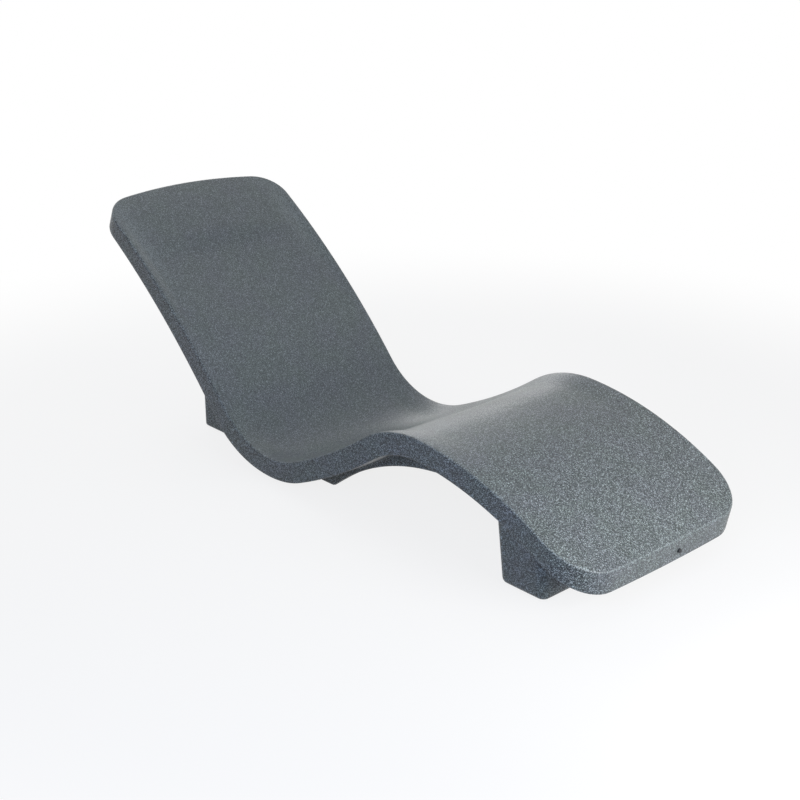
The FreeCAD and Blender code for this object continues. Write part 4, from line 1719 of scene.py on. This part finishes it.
@dataclass(frozen=True)
class PhotoCamera:
    """The photograph's viewpoint."""

    position: tuple = (2.6221, -2.3635, 1.5520)
    heading: float = 47.4774
    tilt: float = 20.9158
    roll: float = 0.0598
    focal_pixels: float = 1358.67
    frame_pixels: float = 800.0
    sensor: float = 36.0

    def make(self) -> bpy.types.Object:
        """Makes the scene's camera."""
        data = bpy.data.cameras.new("camera")
        data.sensor_width = self.sensor
        data.lens = self.sensor * self.focal_pixels / self.frame_pixels
        camera = bpy.data.objects.new("camera", data)
        heading, tilt = math.radians(self.heading), math.radians(self.tilt)
        level = math.cos(tilt)
        look = Vector((-math.sin(heading) * level, math.cos(heading) * level, -math.sin(tilt)))
        roll = Quaternion((0.0, 0.0, 1.0), math.radians(self.roll))
        aim(camera, self.position, look, roll)
        bpy.context.scene.camera = camera
        return camera


@dataclass(frozen=True)
class SoftBox:
    """One large soft lamp that points at a spot on the lounger."""

    name: str
    position: tuple
    target: tuple
    width: float
    height: float
    watts: float
    tint: tuple = (1.0, 1.0, 1.0)

    def make(self) -> bpy.types.Object:
        """Makes the lamp."""
        data = bpy.data.lights.new(self.name, "AREA")
        data.shape = "RECTANGLE"
        data.size = self.width
        data.size_y = self.height
        data.energy = self.watts
        data.color = self.tint
        lamp = bpy.data.objects.new(self.name, data)
        aim(lamp, self.position, Vector(self.target) - Vector(self.position))
        return lamp


@dataclass(frozen=True)
class Studio:
    """White floor, pale surroundings and soft lamps."""

    floor_size: float = 40.0
    bounce_level: float = 0.17
    bounce_tint: tuple = (0.78, 0.95, 1.45)
    white_level: float = 0.95
    shadow_share: float = 0.17
    shadow_reach: float = 1.3
    white_from: float = 2.6
    world_level: float = 0.25
    world_tint: tuple = (0.94, 0.98, 1.07)
    lamps: tuple = (
        SoftBox("top_lamp", (-2.2, 0.3, 2.4), (0.0, 0.0, 0.1), 1.6, 1.2, 16.0),
        SoftBox("back_lamp", (-3.0, 2.2, 1.4), (0.2, 0.0, 0.4), 2.4, 1.4, 17.0),
        SoftBox("foot_lamp", (2.0, -0.1, 0.6), (0.85, 0.0, 0.1), 1.0, 0.6, 15.0),
        SoftBox("side_lamp", (1.7, -2.2, 1.5), (0.6, 0.0, 0.2), 1.6, 0.9, 18.0, (0.72, 0.92, 1.38)),
    )

    def make(self) -> None:
        """Makes the floor, the world and the lamps."""
        self._floor()
        self._world()
        for lamp in self.lamps:
            lamp.make()
        bpy.context.scene.view_settings.view_transform = "Standard"

    def _floor(self) -> None:
        """A level floor that shows white, and keeps a soft shadow round the lounger."""
        half = self.floor_size / 2
        corners = np.array([(-half, -half, 0), (half, -half, 0), (half, half, 0), (-half, half, 0)])
        floor = new_piece("floor", corners, [(0, 1, 2, 3)])
        build = MaterialBuilder("floor_white")
        seen = build.seen()
        colour = build.mix(seen, shade(self.bounce_level, self.bounce_tint), shade(self.white_level))
        matt = build.node("ShaderNodeBsdfDiffuse", None, {"Color": colour})
        white = build.node("ShaderNodeEmission", None, {"Color": WHITE, "Strength": 1.0})
        reach = build.vector("LENGTH", {0: build.position})["Value"]
        near = build.smooth_range(reach, self.shadow_reach, self.white_from, self.shadow_share, 0.0)
        mixed = build.node("ShaderNodeMixShader", None,
                           {0: seen * (1 - near), 1: matt.outputs[0], 2: white.outputs[0]})
        build.node("ShaderNodeOutputMaterial", None, {"Surface": mixed.outputs[0]})
        floor.data.materials.append(build.material)

    def _world(self) -> None:
        """Surroundings that light evenly, and show white to the camera and in gloss."""
        world = bpy.data.worlds.new("studio")
        bpy.context.scene.world = world
        world.use_nodes = True
        world.node_tree.nodes.clear()
        build = TreeBuilder(world.node_tree)
        sky = build.node("ShaderNodeBackground", None,
                         {"Color": shade(1.0, self.world_tint), "Strength": self.world_level})
        white = build.node("ShaderNodeBackground", None, {"Color": WHITE, "Strength": 1.0})
        mixed = build.node("ShaderNodeMixShader", None,
                           {0: build.seen(), 1: sky.outputs[0], 2: white.outputs[0]})
        build.node("ShaderNodeOutputWorld", None, {"Surface": mixed.outputs[0]})


def plain_nodes(finishes: dict) -> None:
    """Gives every CAD node that stays in view its finish."""
    slots = {row["node"]: row["material_slot"] for row in frame["record"]["subparts"]}
    for name, node in frame["nodes"].items():
        dress(node, Finish(slots[name]), finishes)
        log.info("%s: %s", name, slots[name])


def main() -> None:
    """Builds the lounger and its studio."""
    logging.basicConfig(level=logging.INFO, format="%(name)s: %(message)s")
    PhotoCamera().make()
    Studio().make()
    finishes = make_finishes()
    plain_nodes(finishes)
    fittings = Fittings(finishes)
    moulding = Shell(SideLine(), Relief()).make(fittings.make(), finishes)
    for piece in [moulding] + fittings.pieces:
        log.info("%s: %d faces", piece.name, len(piece.data.polygons))


if __name__ == "__main__":
    main()
